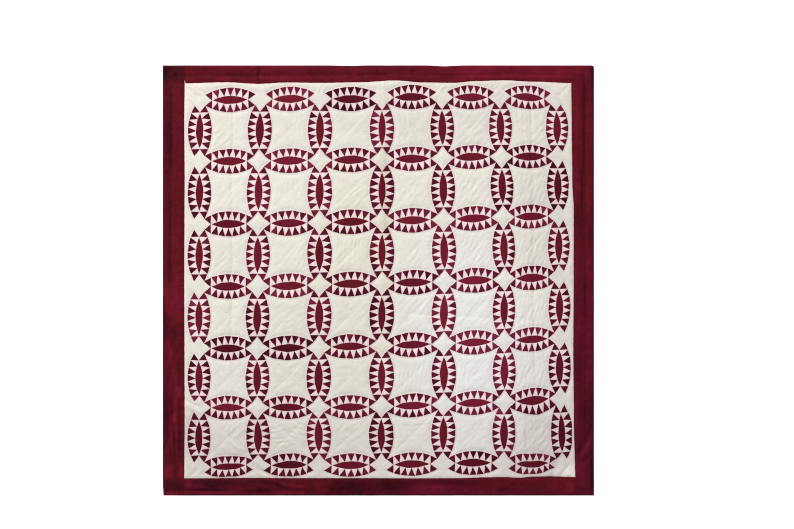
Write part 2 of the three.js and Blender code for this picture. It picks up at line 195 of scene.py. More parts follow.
# The same for the outer edge, where it dips in from a straight line.
EDGE_DIPS = (
    # x, y, reach, right, up
    (329, 1073, 48, 0, -4.3), (-150, 1073, 55, 0, -2.0), (-1077, -1073, 45, 3, 0.5),
    (1077, 1073, 9, -2.5, -2.5),
)

# The seam between the rings' ground and each border strip, in millimetres: how far out it
# lies (first number) at places along it (second number).
SEAMS = {
    "top": (
        (984, -963), (989, -758), (981, -603), (988, -458), (986, -293), (989, -93),
        (998, 82), (988, 227), (986, 377), (995, 483), (999, 628), (992, 773), (985, 965),
    ),
    "bottom": (
        (988, -970), (986, -620), (987, -310), (987, 0), (988, 180), (987, 400),
        (983, 520), (981, 628), (985, 700), (979, 770), (978, 850), (981, 985),
    ),
    "left": (
        (969, -988), (967, -700), (968, -300), (969, 0), (968, 300), (967, 500),
        (969, 800), (967, 987),
    ),
    "right": (
        (982, -981), (976, -700), (973, -350), (975, 0), (975, 350), (968, 500),
        (965, 800), (963, 989),
    ),
}
# Each strip's one line of quilting, as a share of the way from its seam to its edge.
STRIP_QUILTING = {"left": 0.67, "right": 0.58, "top": 0.42, "bottom": 0.7}

# Folds that the quilt was put away in, and soft drags in the cloth, in millimetres: from
# one place to another, how high (or how deep, if negative) and how far to either side.
PRESSED_FOLDS = (
    # x1, y1, x2, y2, rise, spread
    (-727, 1060, -733, -430, -2.6, 8), (-750, -380, -737, -510, 1.8, 9),
    (-740, -480, -650, -595, 2.4, 9), (26, 1060, 32, -60, 2.6, 9), (762, 1000, 783, -590, -3.0, 8),
    (739, -640, 740, -860, -2.5, 7), (60, -163, 840, -205, -1.5, 8),
    (-1060, -130, -300, -122, 0.7, 12), (-780, -795, -668, -695, 2.4, 9),
    (-740, -800, -665, -735, 1.8, 8), (-775, -790, -652, -870, 2.6, 9),
    (-790, -825, -690, -885, 2.0, 9), (1031, 1000, 1030, 560, -0.9, 6),
    (1017, 580, 1017, 370, -1.5, 6), (1031, 40, 1031, -200, -1.2, 6),
    (1064, -850, 1064, -1073, -1.3, 6), (-1036, 1000, -1036, 420, -2.1, 6),
    (748, -655, 750, -835, -0.7, 5), (767, -650, 769, -835, -0.5, 5),
    (-1036, 420, -1047, -60, -2.0, 6),
)
DRAGS = (
    # x1, y1, x2, y2, rise, spread
    (800, -760, 690, -880, 3.0, 95), (850, -1010, 925, -850, -4.6, 20),
    (898, -990, 968, -905, -2.5, 8), (915, -1000, 975, -935, 1.6, 7),
    (950, -1000, 1060, -880, 1.8, 17), (-990, -583, -862, -646, -2.4, 8),
    (-990, -606, -870, -672, 2.2, 11), (-990, -660, -890, -700, 1.6, 9),
    (-645, -885, -470, -1000, 3.0, 11), (-625, -925, -520, -1000, -2.2, 8),
    (-590, -960, -500, -1000, 1.6, 7), (-930, -1030, -590, -1050, 2.2, 11),
    (-980, -1045, -740, -1047, -2.0, 6), (-885, -1012, -795, -1044, -2.2, 7),
    (-535, -1012, -425, -1056, -2.6, 7), (-560, -1000, -330, -1042, 2.6, 11),
    (-480, -1000, -200, -1020, 1.6, 9), (575, -1064, 705, -1006, -1.5, 8),
    (1077, -705, 983, -885, -2.4, 10), (1079, -765, 1003, -905, 2.8, 10),
    (1079, -830, 1012, -935, -2.2, 9), (-1079, -50, -1050, -270, -1.8, 9),
    (-1050, -560, -980, -330, 2.0, 10), (-1070, -420, -1000, -250, -1.6, 9),
    (-1034, -560, -1012, -925, -3.6, 7), (-1052, -740, -1018, -945, -2.8, 6),
    (-1060, -900, -985, -520, 2.6, 12), (-1005, -560, -982, -720, -1.8, 7),
    (-1070, -700, -990, -620, -1.8, 8), (-1030, -1000, -1000, -700, 1.8, 9),
    (-602, 983, -590, 1078, -2.1, 6), (-575, 985, -566, 1078, 1.5, 9),
    (-536, 1010, -530, 1076, -1.2, 6), (-352, 1018, -330, 1066, -1.3, 6),
    (-195, 1000, -180, 1060, -1.0, 6), (-12, 1010, -2, 1074, -1.3, 6), (8, 1010, 22, 1070, 1.8, 7),
    (165, 1010, 178, 1062, -1.5, 6), (560, 985, 700, 1040, 1.2, 12),
    (597, 1000, 600, 1074, -1.0, 6), (-1078, 990, -1035, 1078, -2.6, 10),
)

# Sets of shallow parallel wrinkles, in millimetres and degrees: middle, how far they
# reach, the way they run (anticlockwise from +X), how far apart and how high.
WRINKLES = (
    # x, y, reach, turn, apart, height
    (-785, 715, 60, 45, 26, 0.5), (-400, 780, 75, 100, 17, 0.38), (-140, 760, 85, 50, 25, 0.26),
    (160, 795, 75, 106, 20, 0.5), (130, 715, 60, 47, 22, 0.38), (500, 735, 90, 47, 24, 0.64),
    (740, 795, 70, 96, 19, 0.59), (800, 725, 90, 47, 25, 0.51), (-750, 415, 60, 52, 24, 0.45),
    (-430, 450, 90, 80, 20, 0.26), (-110, 415, 85, 46, 22, 0.42), (175, 440, 80, 49, 26, 0.51),
    (440, 475, 75, 62, 22, 0.55), (510, 425, 75, 48, 24, 0.48), (770, 450, 95, 70, 20, 0.75),
    (-775, 105, 55, 42, 22, 0.5), (-405, 125, 85, 55, 21, 0.45), (-140, 165, 70, 84, 18, 0.44),
    (-185, 95, 60, 44, 22, 0.45), (190, 140, 90, 57, 23, 0.39), (470, 145, 95, 60, 20, 0.56),
    (765, 143, 95, 70, 19, 0.85), (-750, -150, 80, 62, 26, 0.4), (-447, -170, 85, 30, 24, 0.38),
    (-110, -165, 90, 47, 26, 0.44), (200, -135, 80, 52, 23, 0.54), (477, -170, 90, 50, 22, 0.42),
    (765, -165, 95, 75, 18, 0.7), (-700, -535, 50, -42, 22, 0.4), (-430, -430, 80, 34, 30, 0.5),
    (-500, -500, 60, 2, 24, 0.35), (-185, -440, 75, 4, 26, 0.35), (172, -475, 90, 80, 18, 0.4),
    (430, -490, 60, 86, 17, 0.5), (480, -470, 80, 46, 27, 0.5), (765, -475, 95, 72, 19, 0.6),
    (-715, -715, 65, 44, 24, 0.75), (-700, -840, 60, -38, 22, 0.85),
    (-505, -785, 60, 14, 22, 0.85), (-385, -770, 60, -18, 22, 0.85),
    (-140, -735, 75, 36, 24, 0.55), (-150, -820, 65, -36, 26, 0.55), (172, -720, 75, 4, 22, 0.4),
    (477, -775, 90, 45, 29, 0.4), (730, -760, 60, 96, 17, 0.8), (800, -780, 75, 50, 23, 0.9),
    (-900, 930, 90, -40, 22, 0.6), (890, 940, 90, -35, 24, 0.7), (-295, 945, 40, 60, 20, 0.6),
    (320, 950, 40, 60, 22, 0.7), (610, 950, 45, 48, 20, 0.7), (-950, -740, 70, -30, 20, 0.7),
)

# Where a border strip has faded or kept its depth of colour, and where light and shade
# from its folds and sheen are painted on, in millimetres: middle, how far it reaches each
# way, and how much lighter (or, if negative, darker) it is.
BORDER_FADES_AND_SHADE = {
    "left": (
        # x, y, reach_x, reach_y, lighter
        (-1023, 1042, 66, 46, -1.0), (-1068, 1040, 14, 60, -0.8), (-1023, 760, 70, 270, -0.25),
        (-1062, 760, 18, 270, -0.5), (-1036, 770, 6, 190, -0.6), (-1041, 200, 6, 240, -0.6),
        (-995, 760, 20, 230, 0.2), (-1005, 250, 30, 210, 0.2), (-1023, -90, 70, 110, 0.55),
        (-1045, -70, 20, 60, 0.3), (-1066, -190, 9, 90, -0.7), (-1023, -250, 80, 38, -0.55),
        (-1044, -355, 11, 50, 0.8), (-998, -400, 22, 90, -0.5), (-1012, -500, 12, 50, 0.6),
        (-1020, -720, 60, 200, -0.2), (-1064, -670, 16, 170, -0.75), (-1062, -660, 10, 55, -0.3),
        (-995, -550, 12, 26, 0.8), (-1020, -682, 10, 28, 0.9), (-1037, -800, 12, 60, 0.5),
        (-990, -790, 12, 90, -0.4), (-1052, -955, 20, 34, 0.9), (-984, -955, 12, 40, 1.0),
        (-1016, -955, 9, 34, -0.4), (-1030, -1026, 60, 34, -1.0), (-1036, -1063, 30, 8, 0.9),
    ),
    "right": (
        (1005, 1048, 40, 24, 0.5), (1066, 1040, 10, 60, -0.8), (1028, 945, 14, 60, -0.35),
        (1028, 700, 7, 240, -0.45), (1070, 960, 8, 60, -0.5), (990, 800, 20, 170, 0.4),
        (1054, 780, 18, 240, 0.25), (1017, 480, 5, 90, -0.8), (1008, 300, 24, 110, -0.6),
        (1058, 225, 20, 60, -0.6), (1046, 420, 14, 130, 0.25), (985, 500, 14, 80, 0.4),
        (1050, 90, 20, 90, 0.2), (990, 110, 14, 90, 0.15), (1031, -80, 4, 110, -0.8),
        (1005, -230, 20, 50, 0.35), (1060, -200, 14, 230, 0.15), (1005, -430, 24, 110, -0.4),
        (1040, -640, 34, 60, -0.4), (988, -620, 10, 90, 0.2), (1052, -742, 22, 40, -0.4),
        (1008, -855, 16, 40, -0.5), (1062, -950, 7, 130, -0.9), (1074, -1000, 5, 90, -0.8),
        (1020, -960, 20, 60, 0.4), (1023, -800, 60, 320, -0.15),
    ),
    "top": (
        (-690, 1030, 60, 6, -0.5), (-597, 1030, 5, 44, -0.6), (-450, 1002, 90, 10, 0.35),
        (-341, 1044, 7, 18, -0.5), (-6, 1055, 7, 22, -0.6), (14, 1048, 5, 26, -0.6),
        (172, 1040, 6, 24, -0.4), (490, 1040, 90, 36, 0.6), (540, 1062, 40, 10, 0.5),
        (760, 1035, 180, 44, 0.35), (925, 1040, 50, 18, 0.45), (-900, 1058, 50, 9, -0.35),
        (-60, 1070, 400, 5, -0.3),
    ),
    "bottom": (
        (0, -1030, 1100, 60, -0.25), (-560, -1030, 420, 60, -0.35), (-948, -1015, 16, 30, 0.8),
        (-800, -1008, 120, 20, -0.6), (-845, -1030, 42, 8, -0.6), (-800, -1060, 190, 7, 0.9),
        (-860, -1046, 120, 4, -0.9), (-606, -1049, 72, 8, -1.2), (-450, -1061, 100, 8, 1.0),
        (-560, -1005, 110, 14, -0.4), (-400, -1028, 60, 10, 0.35), (-290, -1035, 28, 25, 0.9),
        (-130, -1030, 120, 45, -0.8), (82, -1012, 82, 30, -1.0), (82, -1050, 74, 20, -0.55),
        (268, -1043, 104, 22, 0.75), (268, -1003, 108, 12, -0.5), (490, -1050, 120, 18, 0.35),
        (450, -1006, 110, 14, -0.5), (640, -1045, 60, 12, -0.45), (696, -1014, 7, 7, 0.7),
        (900, -1022, 70, 40, 0.35), (960, -1035, 22, 24, 0.6), (0, -1072, 1100, 3, -0.8),
    ),
}

# Where the border's red has gone a little purple: middle, reach each way, and how much.
BORDER_TINGES = {
    "left": (
        # x, y, reach_x, reach_y, purple
        (-1062, 560, 24, 520, 0.7), (-1053, -560, 26, 260, 0.9), (-1040, -1030, 50, 45, 0.8),
    ),
    "right": (
        (1048, 980, 34, 90, 0.9), (1000, 520, 22, 170, 0.6), (1022, -250, 60, 470, 1.0),
        (1030, -880, 60, 230, 0.8),
    ),
    "top": (
        (0, 1030, 1100, 50, 0.25),
    ),
    "bottom": (
        (-900, -1030, 180, 50, 0.6), (20, -1045, 200, 30, 0.5), (290, -1040, 190, 30, 1.0),
        (640, -1055, 320, 22, 0.6),
    ),
}

# Painted light and shade on the cream ground and wedges, and more faintly on the maroon
# ones, in the same columns as the border's tones.
CREAM_LIGHT_AND_SHADE = (
    # x, y, reach_x, reach_y, lighter
    (600, 900, 450, 180, -0.35), (-550, 900, 420, 170, -0.3), (-150, 800, 200, 150, -0.25),
    (0, 800, 900, 160, -0.2), (172, 760, 150, 150, -0.3), (950, 100, 200, 900, -0.35),
    (770, 430, 140, 160, -0.45), (765, 130, 130, 130, -0.3), (800, 300, 45, 400, -0.25),
    (400, -300, 270, 330, 1.15), (490, 60, 160, 200, 0.5), (760, -180, 140, 140, 0.35),
    (480, -480, 130, 130, 0.3), (-300, -300, 420, 330, -0.2), (-745, 130, 120, 120, -0.25),
    (-745, -480, 120, 120, -0.2), (27, 440, 20, 190, -0.9), (27, 500, 24, 560, -0.5),
    (-300, -900, 900, 240, -0.5), (-450, -780, 420, 130, -0.25), (-800, -850, 330, 200, -0.45),
    (-940, -740, 70, 110, -0.6), (860, -880, 260, 260, -0.8), (775, -775, 110, 110, -0.9),
    (712, -775, 22, 110, 0.5), (780, -925, 110, 45, -0.8), (893, -915, 34, 34, -0.9),
    (962, -958, 50, 42, 1.35),
)

# Where the cream has yellowed (or, if negative, stayed bluer), and by how much.
CREAM_TINGES = (
    # x, y, reach_x, reach_y, yellower
    (-140, 450, 170, 170, 0.8), (-140, 140, 170, 170, 0.9), (-450, 140, 150, 170, 0.5),
    (27, 350, 35, 600, 0.9), (-140, -480, 150, 150, 0.5), (480, 140, 160, 160, -0.3),
    (480, -480, 340, 200, -0.7), (765, -480, 140, 140, -1.0), (480, -780, 330, 160, -0.8),
    (-745, -480, 120, 150, -0.4),
)


# ---------------------------------------------------------------- the lie of the rings
def soft_noise(x, y, cell, seed):
    """Seeded noise, about -1 to 1, whose swells are about one cell across."""
    turns = np.random.default_rng(seed).uniform(0, 2 * math.pi, 4096)
    x, y = np.asarray(x) / cell, np.asarray(y) / cell
    column, row = np.floor(x).astype(int), np.floor(y).astype(int)
    x, y = x - column, y - row

    def corner(right, up):
        turn = turns[((column + right) * 157 + (row + up) * 1231) % 4096]
        return np.cos(turn) * (x - right) + np.sin(turn) * (y - up)

    ease_x, ease_y = (t**3 * (t * (t * 6 - 15) + 10) for t in (x, y))
    low = corner(0, 0) + ease_x * (corner(1, 0) - corner(0, 0))
    high = corner(0, 1) + ease_x * (corner(1, 1) - corner(0, 1))
    return 1.5 * (low + ease_y * (high - low))


def strayed(x, y, stray, seed):
    """Seeded unevenness, from how far it strays and over what distance."""
    far, cell = stray
    return far * soft_noise(x, y, cell, seed)


def eased(t):
    """From 0 to 1, level at both ends."""
    return t * t * (3 - 2 * t)


def bowed_line(table, ends, number, at):
    """How far out a numbered line of diamonds runs at a place along it, in metres."""
    line = np.clip(np.floor(number).astype(int), 0, RINGS - 1)
    past = number - line
    low, middle, high = (
        np.array(table[end])[line] * (1 - past) + np.array(table[end])[line + 1] * past
        for end in (ends[0], "middle", ends[1])
    )
    t = at / (TABLE_REACH * MM)
    return (middle + (high - low) / 2 * t + ((high + low) / 2 - middle) * t * t) * MM


def pulled(x, y, pulls):
    """How far the pulls in a table move places on the quilt."""
    moved = np.zeros((len(x), 2))
    for middle_x, middle_y, reach, right, up in pulls:
        off = ((x - middle_x * MM) ** 2 + (y - middle_y * MM) ** 2) / (reach * MM) ** 2
        moved += np.exp(-off)[:, None] * (right * MM, up * MM)
    return moved


def place(pattern):
    """Turns places in ring numbers (across from the left column of diamonds, and down from
    the top row) into places on the quilt."""
    across, down = np.asarray(pattern, float).reshape(-1, 2).T
    x, y = np.zeros_like(across), np.zeros_like(down)
    for _ in range(4):
        x, y = (
            bowed_line(COLUMNS, ("bottom", "top"), across, y),
            bowed_line(ROWS, ("left", "right"), down, x),
        )
    slip, slide = (
        sum(strayed(x, y, stray, seed + n) for n, stray in enumerate(SEWING_STRAYS))
        for seed in (11, 13)
    )
    return np.column_stack([x + slip, y + slide]) + pulled(x, y, PULLS)


def filled_out(across, fuller):
    """Widens the middle of a lens, and leaves its outer edges where they are."""
    inside = np.clip(1 - (across / LENS_HALF_WIDTH) ** 2, 0, 1)
    return across * (1 + fuller * inside)


def across_lens(i, j, p):
    """Places along and across the lens between two diamonds of a row, in ring numbers."""
    return np.column_stack([i + 0.5 + p[:, 0], j - filled_out(p[:, 1], FULLER_ACROSS[j])])


def down_lens(i, j, p):
    """The same for the lens between two diamonds of a column."""
    return np.column_stack([i + filled_out(p[:, 1], FULLER_DOWN[i]), j + 0.5 + p[:, 0]])


def quarter_turns(points, middle):
    """The same places four times, each a quarter turn on about the middle."""
    made = []
    for _ in range(4):
        made.append(points)
        points = np.column_stack([middle * 2 - points[:, 1], points[:, 0]])
    return made


# ---------------------------------------------------------------- outlines of the patches
def steps_between(start, end, spacing):
    """Even steps along a straight line, both ends included."""
    start, end = np.asarray(start, float), np.asarray(end, float)
    count = max(1, math.ceil(np.linalg.norm(end - start) / spacing - 1e-6))
    return start + (end - start) * np.linspace(0, 1, count + 1)[:, None]


def chained(*parts):
    """Joins lines end to end, keeping each shared end once."""
    return np.vstack([parts[0], *(part[1:] for part in parts[1:])])


def stepped(corners, spacing):
    """Even steps along straight lines from corner to corner."""
    return chained(*(steps_between(a, b, spacing) for a, b in zip(corners, corners[1:])))


def closed(outline):
    """An outline that ends where it began."""
    return np.vstack([outline, outline[:1]])


def arc_height(s, arc):
    """How far out an arc of a lens lies at places along it."""
    reach, tip, bulge = arc
    sagitta = bulge - tip
    radius = (reach**2 + sagitta**2) / (2 * sagitta)
    return bulge - radius + np.sqrt(np.maximum(radius**2 - np.asarray(s) ** 2, 0))


def along_arc(arc, marks, spacing, out=0):
    """An arc of a lens, or one set further out, from mark to mark along it."""
    s = stepped([[mark] for mark in marks], spacing)[:, 0]
    return np.column_stack([s, arc_height(s, arc) + out])


def wedge_tips():
    """Where each cream wedge's tip meets the band's outer edge, and each maroon wedge's
    tip the melon's."""
    outer = np.linspace(-TIP_REACH, TIP_REACH, CREAM_WEDGES)
    inner = np.linspace(-TIP_REACH, TIP_REACH, CREAM_WEDGES + 1)[1:-1]
    cream = [(s - CREAM_TIP / 2, s + CREAM_TIP / 2) for s in outer]
    cream[0] = (outer[0], outer[0] + CREAM_TIP)
    cream[-1] = (outer[-1] - CREAM_TIP, outer[-1])
    maroon = [(s - MAROON_TIP / 2, s + MAROON_TIP / 2) for s in inner]
    return cream, maroon


def whole_band_edge(spacing):
    """A band's outer edge from end to end, with a point at every wedge seam."""
    cream, _ = wedge_tips()
    marks = [-BAND_REACH, *(mark for tip in cream for mark in tip), BAND_REACH]
    return along_arc(BAND_ARC, marks, spacing)


def lens_patches(spacing):
    """The patches of one lens: the cloth, the outline and the way its threads run."""
    cream, maroon = wedge_tips()
    marks = [-MELON_REACH, *(mark for tip in maroon for mark in tip), MELON_REACH]
    whole = along_arc(MELON_ARC, marks, spacing)
    melon = chained(whole, (whole * (1, -1))[::-1])[:-1]
    band = []
    for k in range(CREAM_WEDGES):
        foot = along_arc(MELON_ARC, marks[2 * k : 2 * k + 2], spacing)
        if k == 0:
            foot = chained(steps_between((-TIP_REACH, 0), foot[0], spacing), foot)
        if k == CREAM_WEDGES - 1:
            foot = chained(foot, steps_between(foot[-1], (TIP_REACH, 0), spacing))
        tip = along_arc(BAND_ARC, cream[k], spacing)
        band.append(("cream wedge", wedge(foot, tip, spacing)))
    for k in range(CREAM_WEDGES - 1):
        head = along_arc(BAND_ARC, (cream[k][1], cream[k + 1][0]), spacing)
        tip = along_arc(MELON_ARC, maroon[k], spacing)
        band.append(("maroon wedge", wedge(tip, head, spacing)))
    head = along_arc(BAND_ARC, (-BAND_REACH, -TIP_REACH), spacing)
    last = wedge(np.array([(-TIP_REACH, 0.0)]), head, spacing)
    band += [("maroon wedge", last * (end, 1)) for end in (1, -1)]
    patches = [("melon", melon, 0)]
    for side in (1, -1):
        for cloth, outline in band:
            lean = outline.mean(0)[0] * side * WEDGE_LEAN
            patches.append((cloth, outline * (1, side), 0.25 - lean))
    return patches


def wedge(foot, head, spacing):
    """A patch between its foot and its head, both read from left to right."""
    sides = steps_between(foot[-1], head[-1], spacing), steps_between(head[0], foot[0], spacing)
    return chained(foot, sides[0], head[::-1], sides[1])[:-1]


def echo_corner(echo):
    """Where the quilting along two neighbouring sides of a square meets."""
    s = 0.4
    for _ in range(30):
        s = 0.5 - echo - float(arc_height(s, BAND_ARC))
    return s


def diamond_outline(spacing, reach=DIAMOND_REACH):
    """A joining diamond, whose sides bend in to the squares' corners."""
    corner = reach * CORNER_REACH / DIAMOND_REACH
    half = stepped([(reach, 0), (corner, corner), (0, reach)], spacing)
    return chained(*quarter_turns(half, 0))[:-1]


def diamond_echo(spacing):
    """The line of stitches inside a joining diamond."""
    return closed(diamond_outline(spacing, DIAMOND_REACH - ECHO * math.sqrt(2)))


def rings_outline(spacing):
    """The outside of all the rings, in ring numbers."""
    side = [np.array([(DIAMOND_REACH, 0.0)])]
    for i in range(RINGS):
        edge = whole_band_edge(spacing) * (1, -1) + (i + 0.5, 0)
        turns = [edge[-1], (i + 1 - DIAMOND_REACH, 0), (i + 1 - CORNER_REACH, CORNER_REACH)]
        turns.append((i + 1, DIAMOND_REACH))
        if i < RINGS - 1:
            turns += [(i + 1 + CORNER_REACH, CORNER_REACH), (i + 1 + DIAMOND_REACH, 0)]
        side += [steps_between(side[-1][-1], edge[0], spacing), edge, stepped(turns, spacing)]
    return chained(*quarter_turns(chained(*side), RINGS / 2))[:-1]


def seam_line(side, spacing):
    """The seam of one border strip, from its low end to its high one."""
    out, along = (np.array(column) * MM for column in zip(*SEAMS[side]))
    at = steps_between([along[0]], [along[-1]], spacing)[:, 0]
    k = np.clip(np.searchsorted(along, at, "right") - 1, 0, len(along) - 2)
    far = out[k] + (out[k + 1] - out[k]) * eased((at - along[k]) / (along[k + 1] - along[k]))
    inner = np.minimum(at - along[0], along[-1] - at)
    far = far + strayed(at, far, SEAM_STRAY, 15) * np.clip(inner / LOOSE_FROM, 0, 1)
    return on_side(side, at, far)


def on_side(side, along, out):
    """Places along a side of the quilt, and out from its middle."""
    out = out * (1 if side in ("right", "top") else -1)
    return np.column_stack([out, along] if side in ("left", "right") else [along, out])


# ---------------------------------------------------------------- the quilting
def square_quilting(spacing):
    """The lines of stitches in one background square: round it, and corner to corner."""
    reach = echo_corner(ECHO)
    side = along_arc(BAND_ARC, (-reach, reach), spacing, ECHO) + (0.5, 0)
    sides = quarter_turns(side, 0.5)
    crossing = [steps_between(sides[k][0], sides[k + 2][0], spacing) for k in (0, 1)]
    return sides, crossing


def strip_quilting(side, spacing):
    """The one line of stitches along a border strip."""
    seam = seam_line(side, spacing)
    half, length = HALF_WIDTH, HALF_LENGTH
    if side in ("top", "bottom"):
        seam, half, length = seam[:, ::-1], HALF_LENGTH, HALF_WIDTH
    share = STRIP_QUILTING[side]
    far = np.abs(seam[:, 0]) * (1 - share) + half * share
    far = far + strayed(seam[:, 1], far, QUILTING_STRAY, 16)
    reach = length - (half - far.mean()) - 2 * MM
    along = np.interp(np.linspace(0, 1, len(far)), (0, 1), (-reach, reach))
    return on_side(side, along, far)


def quilting_lines(spacing):
    """Every line that draws the cloth down, in place, by kind: the stitches that follow the
    rings on the cream ground, those that fall or rise from corner to corner of the squares,
    the seams round the melons, the border's seams, and the stitches along its strips."""
    step = spacing / BLOCK
    kinds = ("rings", "falling", "rising", "melons", "seams", "strips")
    lines = {kind: [] for kind in kinds}
    sides, crossing = square_quilting(step)
    for j in range(RINGS):
        for i in range(RINGS):
            lines["rings"] += [place(line + (i, j)) for line in sides]
            for line in crossing:
                line = place(line + (i, j))
                uphill = (line[-1] - line[0]).prod() > 0
                lines["rising" if uphill else "falling"].append(line)
    ditch = along_arc(MELON_ARC, (-MELON_REACH, MELON_REACH), step)
    for n in range(RINGS + 1):
        for m in range(RINGS):
            for lens, i, j in ((across_lens, m, n), (down_lens, n, m)):
                lines["melons"] += [place(lens(i, j, ditch * (1, side))) for side in (1, -1)]
    outside = along_arc(BAND_ARC, (-BAND_REACH, BAND_REACH), step, ECHO)
    for n, out in ((0, 1), (RINGS, -1)):
        for m in range(RINGS):
            lines["rings"].append(place(across_lens(m, n, outside * (1, out))))
            lines["rings"].append(place(down_lens(n, m, outside * (1, -out))))
    inside = diamond_echo(step)
    for j in range(1, RINGS):
        lines["rings"] += [place(inside + (i, j)) for i in range(1, RINGS)]
    near, far = CORNER_LINE
    corner = steps_between((near, near), (far, far), step)
    lines["rings"] += [place(line) for line in quarter_turns(corner, RINGS / 2)]
    lines["seams"] = [seam_line(side, spacing) for side in SEAMS]
    lines["strips"] = [strip_quilting(side, spacing) for side in SEAMS]
    return lines


def walked(line, pitch):
    """Places at an even pitch along a line, the way it heads there, and how far along."""
    legs = np.linalg.norm(np.diff(line, axis=0), axis=1)
    run = np.concatenate([[0], np.cumsum(legs)])
    at = np.arange(pitch / 2, run[-1], pitch)
    spots, ahead = (
        np.column_stack([np.interp(at + further, run, line[:, k]) for k in (0, 1)])
        for further in (0, pitch / 4)
    )
    heading = ahead - spots
    return spots, heading / np.maximum(np.linalg.norm(heading, axis=1), 1e-9)[:, None], at


class Quilting:
    """All the lines of stitches, and how far any place is from them."""

    def __init__(self, lines):
        walks = [walked(line, 2 * MM) for line in lines]
        self.finder = finder_of(np.vstack([walk[0] for walk in walks]))
        self.run = np.concatenate([walk[2] for walk in walks])
        self.number = np.concatenate([np.full(len(w[2]), n) for n, w in enumerate(walks)])

    def near(self, points):
        gap, number = nearest(self.finder, points)
        return gap, self.run[number], self.number[number]


# ---------------------------------------------------------------- cutting up and laying out
class Cloth:
    """Pieces of one cloth, gathered patch by patch. Every point keeps how far it is from a
    seam, which way its threads run (in turns) and how deeply its patch took the dye."""

    def __init__(self, seed):
        self.dye_lot = np.random.default_rng(seed)
        self.patches = []
        self.count = 0

    def add(self, points, corners, seam, grain, spread=1, shared=0):
        dye = np.full(len(points), spread * self.dye_lot.normal() + shared)
        threads = np.full(len(points), float(grain))
        self.patches.append((points, corners + self.count, seam, threads, dye))
        self.count += len(points)

    def whole(self):
        points, corners, seam, grain, dye = (np.concatenate(part) for part in zip(*self.patches))
        turned = twice_area(points, corners) < 0
        facing_up = np.where(turned[:, None], corners[:, ::-1], corners)
        return points, facing_up, {"seam": seam, "grain": grain, "dye": dye}


def twice_area(points, corners):
    """Twice each triangle's area, negative where it faces down."""
    a, b, c = (points[corners[:, k]] for k in range(3))
    return (b - a)[:, 0] * (c - a)[:, 1] - (b - a)[:, 1] * (c - a)[:, 0]


def finder_of(points):
    """A quick finder of the nearest of many places."""
    tree = kdtree.KDTree(len(points))
    for number, (x, y) in enumerate(points.tolist()):
        tree.insert((x, y, 0), number)
    tree.balance()
    return tree


def nearest(finder, points):
    """How far each point is from the nearest place in the finder, and that one's number."""
    found = [finder.find((x, y, 0)) for x, y in points.tolist()]
    return np.array([f[2] for f in found]), np.array([f[1] for f in found], int)


def even_points(low, high, spacing, wanted=None):
    """Points in even, staggered rows, each a little out of line."""
    rows = np.arange(low[1] + spacing / 2, high[1], spacing * 0.866)
    row = np.arange(low[0], high[0], spacing)
    x = row[None, :] + spacing / 2 * (np.arange(len(rows)) % 2)[:, None]
    y = np.repeat(rows[:, None], len(row), 1)
    points = np.column_stack([x.ravel(), y.ravel()])
    if wanted is not None:
        points = points[wanted(points)]
    drift = [soft_noise(*points.T, spacing * 1.7, seed) for seed in (21, 22)]
    return points + spacing * 0.12 * np.column_stack(drift)


def anticlockwise(outline):
    x, y = outline.T
    turns_left = np.dot(x, np.roll(y, -1)) > np.dot(y, np.roll(x, -1))
    return outline if turns_left else outline[::-1]


def cut(outlines, spacing, lines=(), holes=(), seams=None, wanted=None):
    """Triangles over patches that share their edges, with rows of points between the edges.
    Returns each patch's points, its triangles and its points' distances to a seam."""
    outlines = [anticlockwise(outline) for outline in outlines]
    rims = [*outlines, *(anticlockwise(hole) for hole in holes)]
    edge = np.vstack([*rims, *lines])
    inner = even_points(edge.min(0), edge.max(0), spacing, wanted)
    inner = inner[nearest(finder_of(edge), inner)[0] > spacing * 0.62]
    ends = np.cumsum([0, *(len(line) for line in [*rims, *lines])]).tolist()
    spans = [range(start, end) for start, end in zip(ends, ends[1:])]
    faces = [list(span) for span in spans[: len(rims)]]
    wires = [pair for span in spans[len(rims) :] for pair in zip(span, span[1:])]
    corners = [Vector(p) for p in np.vstack([edge, inner]).tolist()]
    made = geometry.delaunay_2d_cdt(corners, wires, faces, 0, spacing * 1e-4, True)
    points = np.array([tuple(p) for p in made[0]])
    owned = [[] for _ in rims]
    for triangle, owners in zip(made[2], made[5]):
        if owners and max(owners) < len(outlines):
            owned[owners[0]].append(triangle)
    if seams is None:
        seams = [closed(outline) for outline in outlines]
    close = np.vstack([stepped(seam, spacing / 5) for seam in seams])
    from_seam = nearest(finder_of(close), points)[0]
    patches = []
    for triangles in owned[: len(outlines)]:
        used, renumbered = np.unique(np.array(triangles), return_inverse=True)
        patches.append((points[used], renumbered.reshape(-1, 3), from_seam[used]))
    return patches


